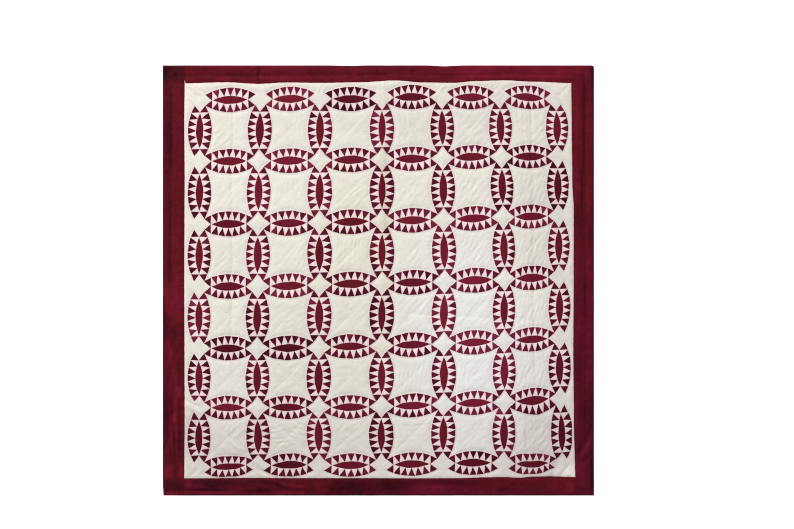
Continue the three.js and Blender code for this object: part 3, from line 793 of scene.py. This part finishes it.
def rings_cut(spacing):
    """Every patch of the rings, in place, by kind of cloth."""
    step = spacing / BLOCK
    kinds = ("melon", "cream wedge", "maroon wedge", "square", "diamond")
    cloths = {kind: Cloth(seed) for seed, kind in enumerate(kinds, 1)}
    lens = lens_patches(step)
    patches = cut([outline for _, outline, _ in lens], step)
    lenses = [(across_lens, i, j, 0) for j in range(RINGS + 1) for i in range(RINGS)]
    lenses += [(down_lens, i, j, -0.25) for j in range(RINGS) for i in range(RINGS + 1)]
    dyes = np.random.default_rng(6).normal(0, LENS_DYE, len(lenses))
    for (way, i, j, turn), dye in zip(lenses, dyes):
        for (cloth, _, grain), (points, triangles, seam) in zip(lens, patches):
            spot = place(way(i, j, points))
            cloths[cloth].add(spot, triangles, seam * BLOCK, grain + turn, PATCH_DYE, dye)
    square = chained(*quarter_turns(whole_band_edge(step) + (0.5, 0), 0.5))[:-1]
    sides, crossing = square_quilting(step)
    for cloth, outline, lines, first in (
        ("square", square, sides + crossing, 0),
        ("diamond", diamond_outline(step), [diamond_echo(step)], 1),
    ):
        points, triangles, seam = cut([outline], step, lines)[0]
        for j in range(first, RINGS):
            for i in range(first, RINGS):
                cloths[cloth].add(place(points + (i, j)), triangles, seam * BLOCK, 0)
    return cloths


# ---------------------------------------------------------------- the border
def border_outlines(spacing):
    """The outlines of the rings' margin and of the four strips round it, and their seams."""
    seam = {side: seam_line(side, spacing) for side in SEAMS}
    high_left = seam["left"][-1]
    sliver = high_left + (0, SLIVER)
    joints = {}
    for right, up, start in (
        (-1, 1, sliver), (1, 1, seam["right"][-1]),
        (-1, -1, seam["left"][0]), (1, -1, seam["right"][0]),
    ):
        joints[right, up] = steps_between(start, (start[0], up * HALF_LENGTH), spacing)
    slit = steps_between(seam["top"][0], sliver, spacing)
    slit_side = steps_between(sliver, high_left, spacing)
    ground = [seam["bottom"], seam["right"], seam["top"][::-1], slit, slit_side]
    outlines = {"margin": [*ground, seam["left"][::-1]]}
    for side, right, beside in (("left", -1, [slit_side]), ("right", 1, [])):
        low, high = joints[right, -1], joints[right, 1]
        corners = [np.array([right * HALF_WIDTH, up * HALF_LENGTH]) for up in (-1, 1)]
        rim = stepped([low[-1], *corners, high[-1]], spacing)
        outlines[side] = [low, rim, high[::-1], *beside, seam[side][::-1]]
    for side, up, beside in (("top", 1, [slit]), ("bottom", -1, [])):
        left, right = joints[-1, up], joints[1, up]
        rim = steps_between(left[-1], right[-1], spacing)
        outlines[side] = [left, rim, right[::-1], seam[side][::-1], *beside]
    outlines = {name: chained(*parts)[:-1] for name, parts in outlines.items()}
    return outlines, [*seam.values(), *joints.values(), slit, slit_side]


def edge_rows(spacing):
    """Lines close inside the quilt's outer edge, where the cloth turns over."""
    rows = []
    for inset in TURN_ROWS:
        x, y = HALF_WIDTH - inset * MM, HALF_LENGTH - inset * MM
        rows.append(stepped([(-x, -y), (x, -y), (x, y), (-x, y), (-x, -y)], spacing))
    return rows


def from_edge(points):
    """How far in from the quilt's outer edge."""
    return np.minimum(HALF_WIDTH - np.abs(points[:, 0]), HALF_LENGTH - np.abs(points[:, 1]))


def border_cut(spacing):
    """The margin round the rings, and the four strips, each a cloth of its own."""
    outlines, seams = border_outlines(spacing)
    rings = place(rings_outline(spacing / BLOCK))
    patches = cut(
        list(outlines.values()),
        spacing,
        lines=[*edge_rows(spacing), *(strip_quilting(side, spacing) for side in SEAMS)],
        holes=[rings],
        seams=[*seams, closed(rings)],
        wanted=lambda points: from_edge(points) < BORDER_ZONE,
    )
    cloths = {}
    for seed, (name, patch) in enumerate(zip(outlines, patches)):
        cloths[name] = Cloth(10 + seed)
        cloths[name].add(*patch, 0.25 if name in ("left", "right") else 0)
    return cloths


def worn_edge(points):
    """Draws the outer edge in a little, unevenly, as a washed quilt's is."""
    moved = pulled(*points.T, EDGE_DIPS)
    for k, half in enumerate((HALF_WIDTH, HALF_LENGTH)):
        out, along = points[:, k], points[:, 1 - k]
        near = np.exp(-np.maximum(half - np.abs(out), 0) / EDGE_PULL_REACH) * np.sign(out)
        moved[:, k] -= EDGE_PULL * (1 + soft_noise(along, along * 0, 0.09, 81 + k)) * near
    return points + moved


# ---------------------------------------------------------------- how the cloth lies
def pressed(off):
    """The profile of a pressed fold, which is steeper on one side."""
    return np.exp(-np.abs(np.where(off < 0, off * 0.5, off)))


def rounded(off):
    """The profile of a soft drag."""
    return np.exp(-off * off)


def fold_lift(x, y):
    """What the old folds and the soft drags add to the cloth's height."""
    lift = np.zeros_like(x)
    for profile, folds in ((pressed, PRESSED_FOLDS), (rounded, DRAGS)):
        for x1, y1, x2, y2, rise, spread in folds:
            run_x, run_y = (x2 - x1) * MM, (y2 - y1) * MM
            length = math.hypot(run_x, run_y)
            share = ((x - x1 * MM) * run_x + (y - y1 * MM) * run_y) / length**2
            off = ((x - x1 * MM) * run_y - (y - y1 * MM) * run_x) / length
            near = (share > 0) & (share < 1) & (np.abs(off) < 10 * MM + 5 * spread * MM)
            share, along = share[near], share[near] * length
            wander = strayed(along, 0 * along + x1, FOLD_STRAY, 31)
            off = (off[near] + wander) / (spread * MM)
            taper = np.clip(np.minimum(share, 1 - share) * length / (0.03 + length * 0.08), 0, 1)
            waver = 1 + 0.35 * soft_noise(along, 0 * along + y1, 0.09, 32)
            lift[near] += rise * MM * profile(off) * eased(taper) * waver
    return lift


def wrinkle_lift(x, y):
    """Shallow parallel wrinkles where the cloth is drawn up between its quilting."""
    lift = np.zeros_like(x)
    for number, (middle_x, middle_y, reach, turn, apart, height) in enumerate(WRINKLES):
        turn = math.radians(turn)
        right, up = x - middle_x * MM, y - middle_y * MM
        far = (right**2 + up**2) / (reach * MM) ** 2
        near = far < 5
        across = up[near] * math.cos(turn) - right[near] * math.sin(turn)
        bend = strayed(x[near], y[near], WRINKLE_STRAY, 140 + number)
        wave = np.sin((across + bend) * 2 * math.pi / (apart * WRINKLE_WIDTH * MM))
        uneven = np.clip(0.7 + 1.5 * soft_noise(x[near], y[near], 0.042, 200 + number), 0, 2)
        lift[near] += height * WRINKLE_WIDTH * MM * np.exp(-far[near]) * wave * uneven
    return lift


def cross_depths(x, y):
    """How far the falling and the rising corner-to-corner lines sink, as shares of the puff:
    deepest low down, and the falling ones to the left."""
    low = np.clip(0.5 - 0.55 * y / HALF_LENGTH, 0, 1)
    left = np.clip(0.5 - 0.6 * x / HALF_WIDTH, 0, 1)
    uneven = 0.16 * soft_noise(x, y, 0.27, 54)
    falling = 0.10 + 0.75 * low**2 * left + uneven
    rising = 0.30 + 0.40 * low + uneven
    return {"falling": np.clip(falling, 0.04, 0.8), "rising": np.clip(rising, 0.1, 0.8)}


def lie(points, seam, quilting):
    """The height of the cloth's face at places on the quilt, how near they are to the
    quilting, and how much painted highlight a corner-to-corner line puts on them. `seam` is
    how far each place is from a pressed seam."""
    x, y = points.T
    near = {kind: lines.near(points) for kind, lines in quilting.items()}
    gap = near["outline"][0]
    sunk, crease_highlight = 1, 0
    for kind, depth in cross_depths(x, y).items():
        away = near[kind][0]
        sunk = sunk * (1 - depth * np.exp(-away / CROSS_REACH))
        crease_highlight = crease_highlight + depth * np.exp(-((away / CREASE_REACH) ** 2))
    sunk = sunk * (1 - MELON_SINK * np.exp(-near["melons"][0] / CROSS_REACH))
    height = SEAM_HEIGHT + PUFF * (1 - np.exp(-gap / PUFF_REACH)) * sunk
    height -= SEAM_DIP * np.exp(-((seam / SEAM_REACH) ** 2))
    puckers = {"outline": RING_PUCKER, "falling": CORNER_PUCKER, "rising": CORNER_PUCKER}
    for kind, pucker in puckers.items():
        away, along, number = near[kind]
        drawn_up = soft_noise(along, number * PUCKER_LENGTH * 7.3, PUCKER_LENGTH, 51)
        started = 1 - np.exp(-away / PUCKER_START)
        height += pucker * drawn_up * np.exp(-away / PUCKER_REACH) * started
    height += sum(strayed(x, y, rumple, seed) for seed, rumple in enumerate(RUMPLES, 52))
    free = 1 - WRINKLES_HELD * np.exp(-gap / WRINKLES_HELD_REACH)
    height += wrinkle_lift(x, y) * free + fold_lift(x, y)
    return height, gap, crease_highlight


def border_swell(points):
    """The border's cloth is a little loose: low swells, longer along a strip than across."""
    x, y = points.T
    lean = np.clip(0.5 + (np.abs(x) / HALF_WIDTH - np.abs(y) / HALF_LENGTH) / 0.08, 0, 1)
    swell = 0
    for share, along, across in ((lean, y, x), (1 - lean, x, y)):
        long_swell = strayed(along, across * 2.4, LONG_SWELL, 61)
        short_swell = strayed(along, across * 1.6, SHORT_SWELL, 62)
        swell = swell + share * (long_swell + short_swell)
    return swell


def turned_over(points, height):
    """The height of the border's cloth, which rounds over at the quilt's outer edge."""
    share = np.clip(from_edge(points) / EDGE_ROUNDING, 0, 1)
    return EDGE_HEIGHT + (height - EDGE_HEIGHT) * (1 - (1 - share) ** 2)


def tone_at(points, tones, crispness=2):
    """How far a table of soft patches moves a cloth, patch by patch. The tones make it lighter or
    darker: painted light and shade, and on the border its fading too.
    """
    x, y = points.T / MM
    tone = np.zeros_like(x)
    for middle_x, middle_y, reach_x, reach_y, lighter in tones:
        off = np.abs((x - middle_x) / reach_x) ** crispness
        off += np.abs((y - middle_y) / reach_y) ** crispness
        tone += lighter * np.exp(-off)
    return tone


# ---------------------------------------------------------------- the cloth pieces
def put_in(name, data):
    """Puts a mesh, a light or a camera into the scene."""
    thing = bpy.data.objects.new(name, data)
    bpy.context.collection.objects.link(thing)
    return thing


def mesh_piece(name, points, height, corners, marks, material, node=None):
    mesh = bpy.data.meshes.new(name)
    mesh.from_pydata(np.column_stack([points, height]).tolist(), [], corners.tolist())
    for mark, values in marks.items():
        layer = mesh.attributes.new(mark, "FLOAT", "POINT")
        layer.data.foreach_set("value", values.astype(np.float32))
    mesh.polygons.foreach_set("use_smooth", np.ones(len(mesh.polygons), bool))
    mesh.materials.append(material)
    piece = put_in(name, mesh)
    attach(piece, "root")
    if node:
        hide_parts(node)
    return piece


def top_piece(name, cloth, quilting, material):
    """One of the cloths of the quilt's face, laid over the filling."""
    points, corners, marks = cloth.whole()
    height, marks["gap"], crease_highlight = lie(points, marks["seam"], quilting)
    # The cream tones are painted light and shade, and the corner-to-corner lines add a painted
    # highlight.
    marks["tone"] = tone_at(points, CREAM_LIGHT_AND_SHADE) + crease_highlight
    marks["tinge"] = tone_at(points, CREAM_TINGES)
    piece = mesh_piece(name, points, height, corners, marks, material, "ring_panel")


def strip_piece(side, cloth, quilting, material):
    """A border strip, with its outer edge turned under as a hem."""
    points, corners, marks = cloth.whole()
    height, marks["gap"], _ = lie(points, marks["seam"], quilting)
    loose = np.clip(marks["seam"] / LOOSE_FROM, 0, 1)
    height = turned_over(points, height + border_swell(points) * loose)
    # The border's tones are its fading and painted light and shade; the folds add a painted highlight on
    # their ridges and painted shade in their valleys.
    marks["tone"] = tone_at(points, BORDER_FADES_AND_SHADE[side], 3) + FOLD_SHADE_AND_HIGHLIGHT * fold_lift(*points.T) / MM
    marks["tinge"] = tone_at(points, BORDER_TINGES[side], 3)
    face_count = len(corners)
    points, height, corners, marks, hem = with_hem(points, height, corners, marks)
    name, node = f"border_strip_{side}", f"border_{side}"
    piece = mesh_piece(name, points, height, corners, marks, material, node)
    piece.data.polygons.foreach_set("use_smooth", np.arange(len(corners)) < face_count)


def with_hem(points, height, corners, marks):
    """Adds the rows of the hem to a strip, and says what area they have."""
    ways = np.vstack([corners[:, (0, 1)], corners[:, (1, 2)], corners[:, (2, 0)]])
    on_edge = (from_edge(points) < 1e-6)[ways].all(1)
    ways = ways[on_edge].tolist()
    twins = {tuple(way) for way in ways}
    ways = np.array([way for way in ways if (way[1], way[0]) not in twins])
    rim, numbers = np.unique(ways, return_inverse=True)
    numbers = numbers.reshape(-1, 2)
    edge = worn_edge(points)
    rows, heights, faces = [edge], [height], [corners]
    above, start = ways, len(points)
    for inset, up in HEM:
        shrink = (1 - inset * MM / HALF_WIDTH, 1 - inset * MM / HALF_LENGTH)
        rows.append(edge[rim] * shrink)
        heights.append(np.full(len(rim), up * MM))
        below = numbers + start
        faces.append(np.column_stack([above[:, 1], above[:, 0], below[:, 0]]))
        faces.append(np.column_stack([above[:, 1], below[:, 0], below[:, 1]]))
        above, start = below, start + len(rim)
    for mark, values in marks.items():
        marks[mark] = np.concatenate([values, np.tile(values[rim], len(HEM))])
    run = np.linalg.norm(points[ways[:, 0]] - points[ways[:, 1]], axis=1).sum()
    area = run * HEM[-1][0] * MM
    return np.vstack(rows), np.concatenate(heights), np.vstack(faces), marks, area


def backing_piece(quilting, material):
    """The plain cloth of the back, drawn up a little along every line of stitches."""
    x, y = (
        np.linspace(-1, 1, round(2 * half / BACK_SPACING)) * (half - BACK_INSET)
        for half in (HALF_WIDTH, HALF_LENGTH)
    )
    points = np.array([(across, up) for up in y for across in x])
    cell = np.arange(len(x) * (len(y) - 1)).reshape(len(y) - 1, len(x))[:, :-1].ravel()
    halves = [(cell, cell + len(x), cell + 1), (cell + 1, cell + len(x), cell + len(x) + 1)]
    corners = np.vstack([np.column_stack(half) for half in halves])
    gap = np.min([lines.near(points)[0] for lines in quilting.values()], axis=0)
    height = BACK_HEIGHT + BACK_LIFT * np.exp(-((gap / BACK_LIFT_REACH) ** 2))
    bare = np.full(len(points), 0.1)
    marks = {"gap": gap, "seam": bare, "grain": bare * 0, "dye": bare * 0, "tone": bare * 0}
    name, slot = "backing_cloth", "cream_cotton"
    piece = mesh_piece(name, points, height, corners, marks, material, "ring_panel")


def stitches_piece(name, lines, quilting, material, seed):
    """Hand-quilting stitches: short raised slivers of thread that dip in at both ends."""
    walks = [walked(line, STITCH_PITCH) for line in lines]
    spots, ahead = (np.vstack([walk[k] for walk in walks]) for k in (0, 1))
    draw = np.random.default_rng(seed)
    long = STITCH_LENGTH / 2 * draw.uniform(0.8, 1.15, (len(spots), 1))
    swing = draw.normal(0, 0.06, (len(spots), 1))
    aside = np.column_stack([-ahead[:, 1], ahead[:, 0]])
    ahead = (ahead + aside * swing) * long
    aside = aside * STITCH_WIDTH / 2
    face = lie(spots, np.full(len(spots), 1.0), quilting)[0]
    rim = [spots - ahead, spots + aside, spots + ahead, spots - aside]
    points = np.stack([*rim, spots], 1).reshape(-1, 2)
    lifts = (STITCH_DIP, STITCH_SIDE, STITCH_DIP, STITCH_SIDE, STITCH_CROWN)
    height = np.stack([face + lift for lift in lifts], 1).ravel()
    one = np.array([(0, 4, 1), (1, 4, 2), (2, 4, 3), (3, 4, 0), (0, 1, 3), (1, 2, 3)])
    corners = (one[None] + 5 * np.arange(len(spots))[:, None, None]).reshape(-1, 3)
    mesh_piece(name, points, height, corners, {}, material)


# ---------------------------------------------------------------- the finishes
class Wiring:
    """Adds nodes to a tree. An input may be a plain value or another node's output."""

    def __init__(self, tree):
        self.tree = tree

    def give(self, socket, value):
        if isinstance(value, bpy.types.NodeSocket):
            self.tree.links.new(value, socket)
        else:
            socket.default_value = value

    def add(self, kind, inputs=None, **settings):
        made = self.tree.nodes.new("ShaderNode" + kind)
        for name, value in settings.items():
            setattr(made, name, value)
        for name, value in (inputs or {}).items():
            self.give(made.inputs[name], value)
        return made.outputs

    def math(self, operation, *values):
        return self.add("Math", dict(enumerate(values)), operation=operation)[0]

    def mark(self, name):
        """A number that the cloth's points carry."""
        return self.add("Attribute", attribute_name=name, attribute_type="GEOMETRY")["Fac"]

    def near(self, mark, reach):
        """1 where a mark is 0, fading away within its reach."""
        away = self.math("DIVIDE", self.mark(mark), reach)
        return self.math("EXPONENT", self.math("MULTIPLY", away, -1.0))

    def here(self):
        """The place on the quilt."""
        return self.add("TexCoord")["Object"]

    def along_threads(self, turns):
        """Places on the quilt, turned so that X runs along a patch's threads."""
        inputs = {"Vector": self.here(), "Angle": self.math("MULTIPLY", turns, -2 * math.pi)}
        return self.add("VectorRotate", inputs, rotation_type="Z_AXIS")["Vector"]

    def noise(self, vector, scale, detail=2.0, roughness=0.5):
        inputs = {"Vector": vector, "Scale": scale, "Detail": detail, "Roughness": roughness}
        return self.add("TexNoise", inputs)["Fac"]

    def streaks(self, vector, stretch, roughness=0.5):
        """Noise that is finer along one way than along another."""
        drawn_out = self.add("VectorMath", {0: vector, 1: stretch}, operation="MULTIPLY")[0]
        return self.noise(drawn_out, 1.0, 3.0, roughness)

    def colour(self, kind, amount, first, second):
        inputs = {0: amount, 6: first, 7: second}
        return self.add("Mix", inputs, data_type="RGBA", blend_type=kind)[2]

    def group(self, tree, **inputs):
        inputs = {name.replace("_", " "): value for name, value in inputs.items()}
        return self.add("Group", inputs, node_tree=tree)


def shader_group(name, inputs, outputs):
    """An empty node group with named inputs, each with its usual value, and outputs."""
    tree = bpy.data.node_groups.new(name, "ShaderNodeTree")
    for socket, value in inputs.items():
        kind = "NodeSocketColor" if isinstance(value, tuple) else "NodeSocketFloat"
        tree.interface.new_socket(socket, in_out="INPUT", socket_type=kind).default_value = value
    for socket, kind in outputs.items():
        tree.interface.new_socket(socket, in_out="OUTPUT", socket_type="NodeSocket" + kind)
    given = tree.nodes.new("NodeGroupInput").outputs
    result = tree.nodes.new("NodeGroupOutput").inputs
    return tree, Wiring(tree), given, result


def plain_weave_group():
    """Two sets of threads, over and under, with thicker and thinner ones among them."""
    tree, wires, given, result = shader_group(
        "plain weave",
        {"Turns": 0.0, "Threads per metre": 2600.0, "Slub": 0.1},
        {"Height": "Float", "Shade": "Float"},
    )
    turned = wires.along_threads(given["Turns"])
    along = wires.add("SeparateXYZ", {"Vector": turned})
    pitch = wires.math("MULTIPLY", given["Threads per metre"], math.pi)
    warp, weft = (wires.math("SINE", wires.math("MULTIPLY", along[axis], pitch)) for axis in "XY")
    wires.give(result["Height"], wires.math("MULTIPLY", warp, weft))
    thick = [wires.streaks(turned, stretch) for stretch in ((420, 14, 1), (14, 380, 1))]
    uneven = wires.math("SUBTRACT", wires.math("ADD", *thick), 1.0)
    wires.give(result["Shade"], wires.math("MULTIPLY_ADD", uneven, given["Slub"], 1.0))
    return tree


def aged_dye_group():
    """A dyed cloth's colour, uneven from the vat and from washing: cloudy all over, deeper or
    paler patch by patch, and lighter or darker where Tone says, which brings painted light and
    shade and, on the border, fading."""
    tree, wires, given, result = shader_group(
        "aged dye",
        {
            "Colour": (0.8, 0.8, 0.8, 1.0),
            # Worn colour is also the colour of painted light, and Deep colour that of painted shade.
            "Worn colour": (0.9, 0.9, 0.9, 1.0),
            "Deep colour": (0.7, 0.7, 0.7, 1.0),
            "Clouds": 0.2,
            "Patch to patch": 0.1,
            "Tone": 0.0,
            "Streaks": 0.0,
            "Turns": 0.0,
            "Shade": 1.0,
        },
        {"Colour": "Color"},
    )
    wide = wires.noise(wires.here(), 4.0, 4.0, 0.6)
    fine = wires.noise(wires.here(), 38.0, 3.0, 0.55)
    clouds = wires.math("SUBTRACT", wires.math("ADD", wide, fine), 1.0)
    streaks = wires.streaks(wires.along_threads(given["Turns"]), (2.2, 75, 1), 0.6)
    streaks = wires.math("SUBTRACT", streaks, 0.5)
    lighter = given["Tone"]
    for amount, uneven in (
        ("Clouds", clouds), ("Patch to patch", wires.mark("dye")), ("Streaks", streaks),
    ):
        lighter = wires.math("MULTIPLY_ADD", uneven, given[amount], lighter)
    paler = wires.add("Clamp", {"Value": lighter})[0]
    deeper = wires.add("Clamp", {"Value": wires.math("MULTIPLY", lighter, -1.0)})[0]
    colour = wires.colour("MIX", paler, given["Colour"], given["Worn colour"])
    colour = wires.colour("MIX", deeper, colour, given["Deep colour"])
    shaded = wires.add("VectorMath", {0: colour, "Scale": given["Shade"]}, operation="SCALE")[0]
    wires.give(result["Colour"], shaded)
    return tree


def sunk_line_group():
    """Where the cloth is drawn down: the soil and shade that gather in the stitching and in
    the seams, and the hard pressed edge of a seam."""
    tree, wires, given, result = shader_group(
        "sunk line",
        {"Stitching reach": 0.002, "Seam reach": 0.0012, "Stitching": 0.1, "Seam": 0.1},
        {"Shade": "Float"},
    )
    shade = 1.0
    for mark, line in (("gap", "Stitching"), ("seam", "Seam")):
        near = wires.near(mark, given[line + " reach"])
        sunk = wires.math("SUBTRACT", 1.0, wires.math("MULTIPLY", near, given[line]))
        shade = wires.math("MULTIPLY", shade, sunk)
    wires.give(result["Shade"], shade)
    return tree


def show_through_group():
    """Dark turnings under a pale cloth, which tint it a little beside its seams."""
    tree, wires, given, result = shader_group(
        "turnings showing through",
        {"Colour": (0.8, 0.8, 0.8, 1.0), "Tint": (1.0, 0.78, 0.84, 1.0), "Reach": 0.003},
        {"Colour": "Color"},
    )
    near = wires.near("seam", given["Reach"])
    wires.give(result["Colour"], wires.colour("MULTIPLY", near, given["Colour"], given["Tint"]))
    return tree


def tinge_group():
    """A cloth whose hue has drifted here and there, towards its tinge or away from it."""
    tree, wires, given, result = shader_group(
        "tinge",
        {"Colour": (0.8, 0.8, 0.8, 1.0), "Tinge": (1.0, 0.99, 0.94, 1.0)},
        {"Colour": "Color"},
    )
    drifted = wires.colour("MULTIPLY", wires.mark("tinge"), given["Colour"], given["Tinge"])
    drifted.node.clamp_factor = False
    wires.give(result["Colour"], drifted)
    return tree


# How far the tones move each cloth: on the rings' cloths they are painted light and shade, on the border
# fading with painted light and shade.
CREAMS = dict(tone=1.0, tint=(1.0, 0.80, 0.85), tinge=(1.0, 0.995, 0.945), shine=0.15)
MAROONS = dict(tone=0.4, roughness=0.85, shine=0.06)
# Each cotton's colour as dyed, its lighter colour for wear and painted light, its darker one for
# depth of dye and painted shade, how cloudy it is and how its patches differ, its thicker
# threads, how much the tones move it, and its surface.
COTTONS = {
    "cream background cotton": dict(
        CREAMS, colour=(0.755, 0.722, 0.652), lit_and_worn=(0.80, 0.79, 0.75), shaded_and_deep=(0.65, 0.605, 0.56),
        clouds=0.7, roughness=0.86,
    ),
    "cream wedge cotton": dict(
        CREAMS, colour=(0.806, 0.724, 0.694), lit_and_worn=(0.85, 0.785, 0.755), shaded_and_deep=(0.68, 0.605, 0.58),
        patch=0.16, stitching=0.03, roughness=0.84,
    ),
    "maroon wedge cotton": dict(
        MAROONS, colour=(0.098, 0.0058, 0.0195), lit_and_worn=(0.18, 0.016, 0.045),
        shaded_and_deep=(0.045, 0.0027, 0.0085), clouds=0.7, patch=0.48, slub=0.2,
    ),
    "melon cotton": dict(
        MAROONS, colour=(0.127, 0.0078, 0.0192), lit_and_worn=(0.21, 0.014, 0.036),
        shaded_and_deep=(0.055, 0.0032, 0.0075), clouds=0.5, patch=0.28, slub=0.25,
    ),
    "streaky maroon sateen": dict(
        colour=(0.098, 0.0036, 0.0100), lit_and_worn=(0.19, 0.0080, 0.024), shaded_and_deep=(0.031, 0.0006, 0.0042),
        clouds=1.0, slub=0.25, tone=0.75, streaks=0.8, stitching=0.12, stitching_reach=0.003,
        seam=0.1, seam_reach=0.0015, tinge=(0.97, 0.92, 1.32), roughness=(0.5, 0.68), shine=0.07,
    ),
    "backing muslin": dict(
        colour=(0.72, 0.68, 0.60), lit_and_worn=(0.78, 0.75, 0.69), shaded_and_deep=(0.62, 0.57, 0.48), threads=1900,
        slub=0.25, roughness=0.9, shine=0.2,
    ),
}


class Finishes:
    """The quilt's cloths, from five shared effects."""

    def __init__(self):
        self.weave = plain_weave_group()
        self.dye = aged_dye_group()
        self.sunk = sunk_line_group()
        self.show_through = show_through_group()
        self.tinge = tinge_group()

    def cotton(
        self, name, colour, lit_and_worn, shaded_and_deep, roughness, shine, threads=2600, slub=0.12, clouds=0.3,
        patch=0.06, stitching=0.05, stitching_reach=0.0022, seam=0.0, seam_reach=0.001, tone=0.0,
        streaks=0.0, tint=None, tinge=None,
    ):
        """A cotton cloth. Two roughnesses make a sateen, whose face of long threads catches
        the light in streaks."""
        material, wires, shader = matt_material(name, shine)
        grain = wires.mark("grain")
        weave = wires.group(self.weave, Turns=grain, Threads_per_metre=threads, Slub=slub)
        lines = wires.group(
            self.sunk,
            Stitching_reach=stitching_reach,
            Stitching=stitching,
            Seam_reach=seam_reach,
            Seam=seam,
        )
        dyed = wires.group(
            self.dye,
            Colour=(*colour, 1),
            Worn_colour=(*lit_and_worn, 1),
            Deep_colour=(*shaded_and_deep, 1),
            Clouds=clouds,
            Patch_to_patch=patch,
            # The tone mark carries painted light and shade, with the border's fading, scaled by tone.
            Tone=wires.math("MULTIPLY", wires.mark("tone"), tone),
            Streaks=streaks,
            Turns=grain,
            Shade=wires.math("MULTIPLY", weave["Shade"], lines["Shade"]),
        )
        if tint:
            dyed = wires.group(self.show_through, Colour=dyed["Colour"], Tint=(*tint, 1))
        if tinge:
            dyed = wires.group(self.tinge, Colour=dyed["Colour"], Tinge=(*tinge, 1))
        bump = wires.add("Bump", {"Height": weave["Height"], "Distance": THREAD_RELIEF, "Strength": 0.6})
        wires.give(shader["Base Color"], dyed["Colour"])
        wires.give(shader["Normal"], bump["Normal"])
        if isinstance(roughness, tuple):
            streaky = wires.streaks(wires.along_threads(grain), (3.5, 130, 1))
            limits = {"Value": streaky, "To Min": roughness[0], "To Max": roughness[1]}
            roughness = wires.add("MapRange", limits)["Result"]
        wires.give(shader["Roughness"], roughness)
        return material


def matt_material(name, shine, roughness=0.9):
    """A material with only its shader's gloss set."""
    material = bpy.data.materials.new(name)
    material.use_nodes = True
    shader = material.node_tree.nodes["Principled BSDF"].inputs
    shader["Roughness"].default_value = roughness
    shader["Specular IOR Level"].default_value = shine
    return material, Wiring(material.node_tree), shader


def quilting_thread(name, colour, between):
    """Waxed cotton thread: finely twisted, a little glossier than the cloth."""
    material, wires, shader = matt_material(name, 0.15, 0.65)
    twist = wires.noise(wires.here(), 900.0)
    wires.give(shader["Base Color"], wires.colour("MIX", twist, (*colour, 1), (*between, 1)))
    return material


# ---------------------------------------------------------------- the quilt
def make_quilt():
    lines = quilting_lines(2 * FACE_SPACING)
    quilting = {kind: Quilting(lines[kind]) for kind in ("melons", "falling", "rising")}
    quilting["outline"] = Quilting(lines["rings"] + lines["seams"] + lines["strips"])
    rings = rings_cut(FACE_SPACING)
    border = border_cut(FACE_SPACING)
    finishes = Finishes()
    cottons = {name: finishes.cotton(name, **values) for name, values in COTTONS.items()}
    cream, maroon = "cream_cotton", "maroon_cotton"
    for name, cloth, cotton, slot in (
        ("background_squares", rings["square"], "cream background cotton", cream),
        ("joining_diamonds", rings["diamond"], "cream background cotton", cream),
        ("margin_round_rings", border["margin"], "cream background cotton", cream),
        ("cream_wedges", rings["cream wedge"], "cream wedge cotton", cream),
        ("maroon_wedges", rings["maroon wedge"], "maroon wedge cotton", maroon),
        ("melons", rings["melon"], "melon cotton", maroon),
    ):
        top_piece(name, cloth, quilting, cottons[cotton])
    for side in SEAMS:
        strip_piece(side, border[side], quilting, cottons["streaky maroon sateen"])
    backing_piece(quilting, cottons["backing muslin"])
    cream_thread = quilting_thread("cream thread", (0.74, 0.71, 0.65), (0.64, 0.60, 0.53))
    red_thread = quilting_thread("maroon thread", (0.10, 0.006, 0.016), (0.05, 0.004, 0.01))
    crossing = lines["falling"] + lines["rising"]
    stitches_piece("outline_stitches", lines["rings"], quilting, cream_thread, 91)
    stitches_piece("corner_to_corner_stitches", crossing, quilting, cream_thread, 92)
    stitches_piece("border_stitches", lines["strips"], quilting, red_thread, 93)


# ---------------------------------------------------------------- floor, light and camera
def make_floor():
    mesh = bpy.data.meshes.new("floor")
    corners = [(x * FLOOR_REACH, y * FLOOR_REACH, 0) for x, y in ((-1, -1), (1, -1), (1, 1), (-1, 1))]
    mesh.from_pydata(corners, [], [(0, 1, 2, 3)])
    material, wires, shader = matt_material("pale floor", 0.1)
    clouds = wires.noise(wires.here(), 3.0)
    colour = wires.colour("MIX", clouds, (0.95, 0.95, 0.95, 1), (0.965, 0.965, 0.965, 1))
    wires.give(shader["Base Color"], colour)
    shader["Emission Color"].default_value = (1, 1, 1, 1)
    shader["Emission Strength"].default_value = FLOOR_GLOW
    mesh.materials.append(material)
    put_in("floor", mesh)


def make_studio():
    world = bpy.data.worlds.new("soft room")
    world.use_nodes = True
    background = world.node_tree.nodes["Background"].inputs
    background["Color"].default_value = (1, 1, 1, 1)
    background["Strength"].default_value = ROOM_LIGHT
    bpy.context.scene.world = world
    lamp = bpy.data.lights.new("window", "AREA")
    lamp.shape = "SQUARE"
    lamp.size = WINDOW_SIZE
    lamp.energy = WINDOW_POWER
    light = put_in("window", lamp)
    light.location = WINDOW_PLACE
    light.rotation_euler = (-light.location).to_track_quat("-Z", "Y").to_euler()
    bpy.context.scene.view_settings.view_transform = "Standard"


def make_camera():
    lens = bpy.data.cameras.new("camera")
    lens.lens = 85
    lens.sensor_width = 36
    camera = put_in("camera", lens)
    camera.location = (*VIEW_MIDDLE, VIEW_WIDTH * lens.lens / lens.sensor_width)
    bpy.context.scene.camera = camera
    bpy.context.scene.cycles.filter_width = FILTER_WIDTH


make_quilt()
make_floor()
make_studio()
make_camera()
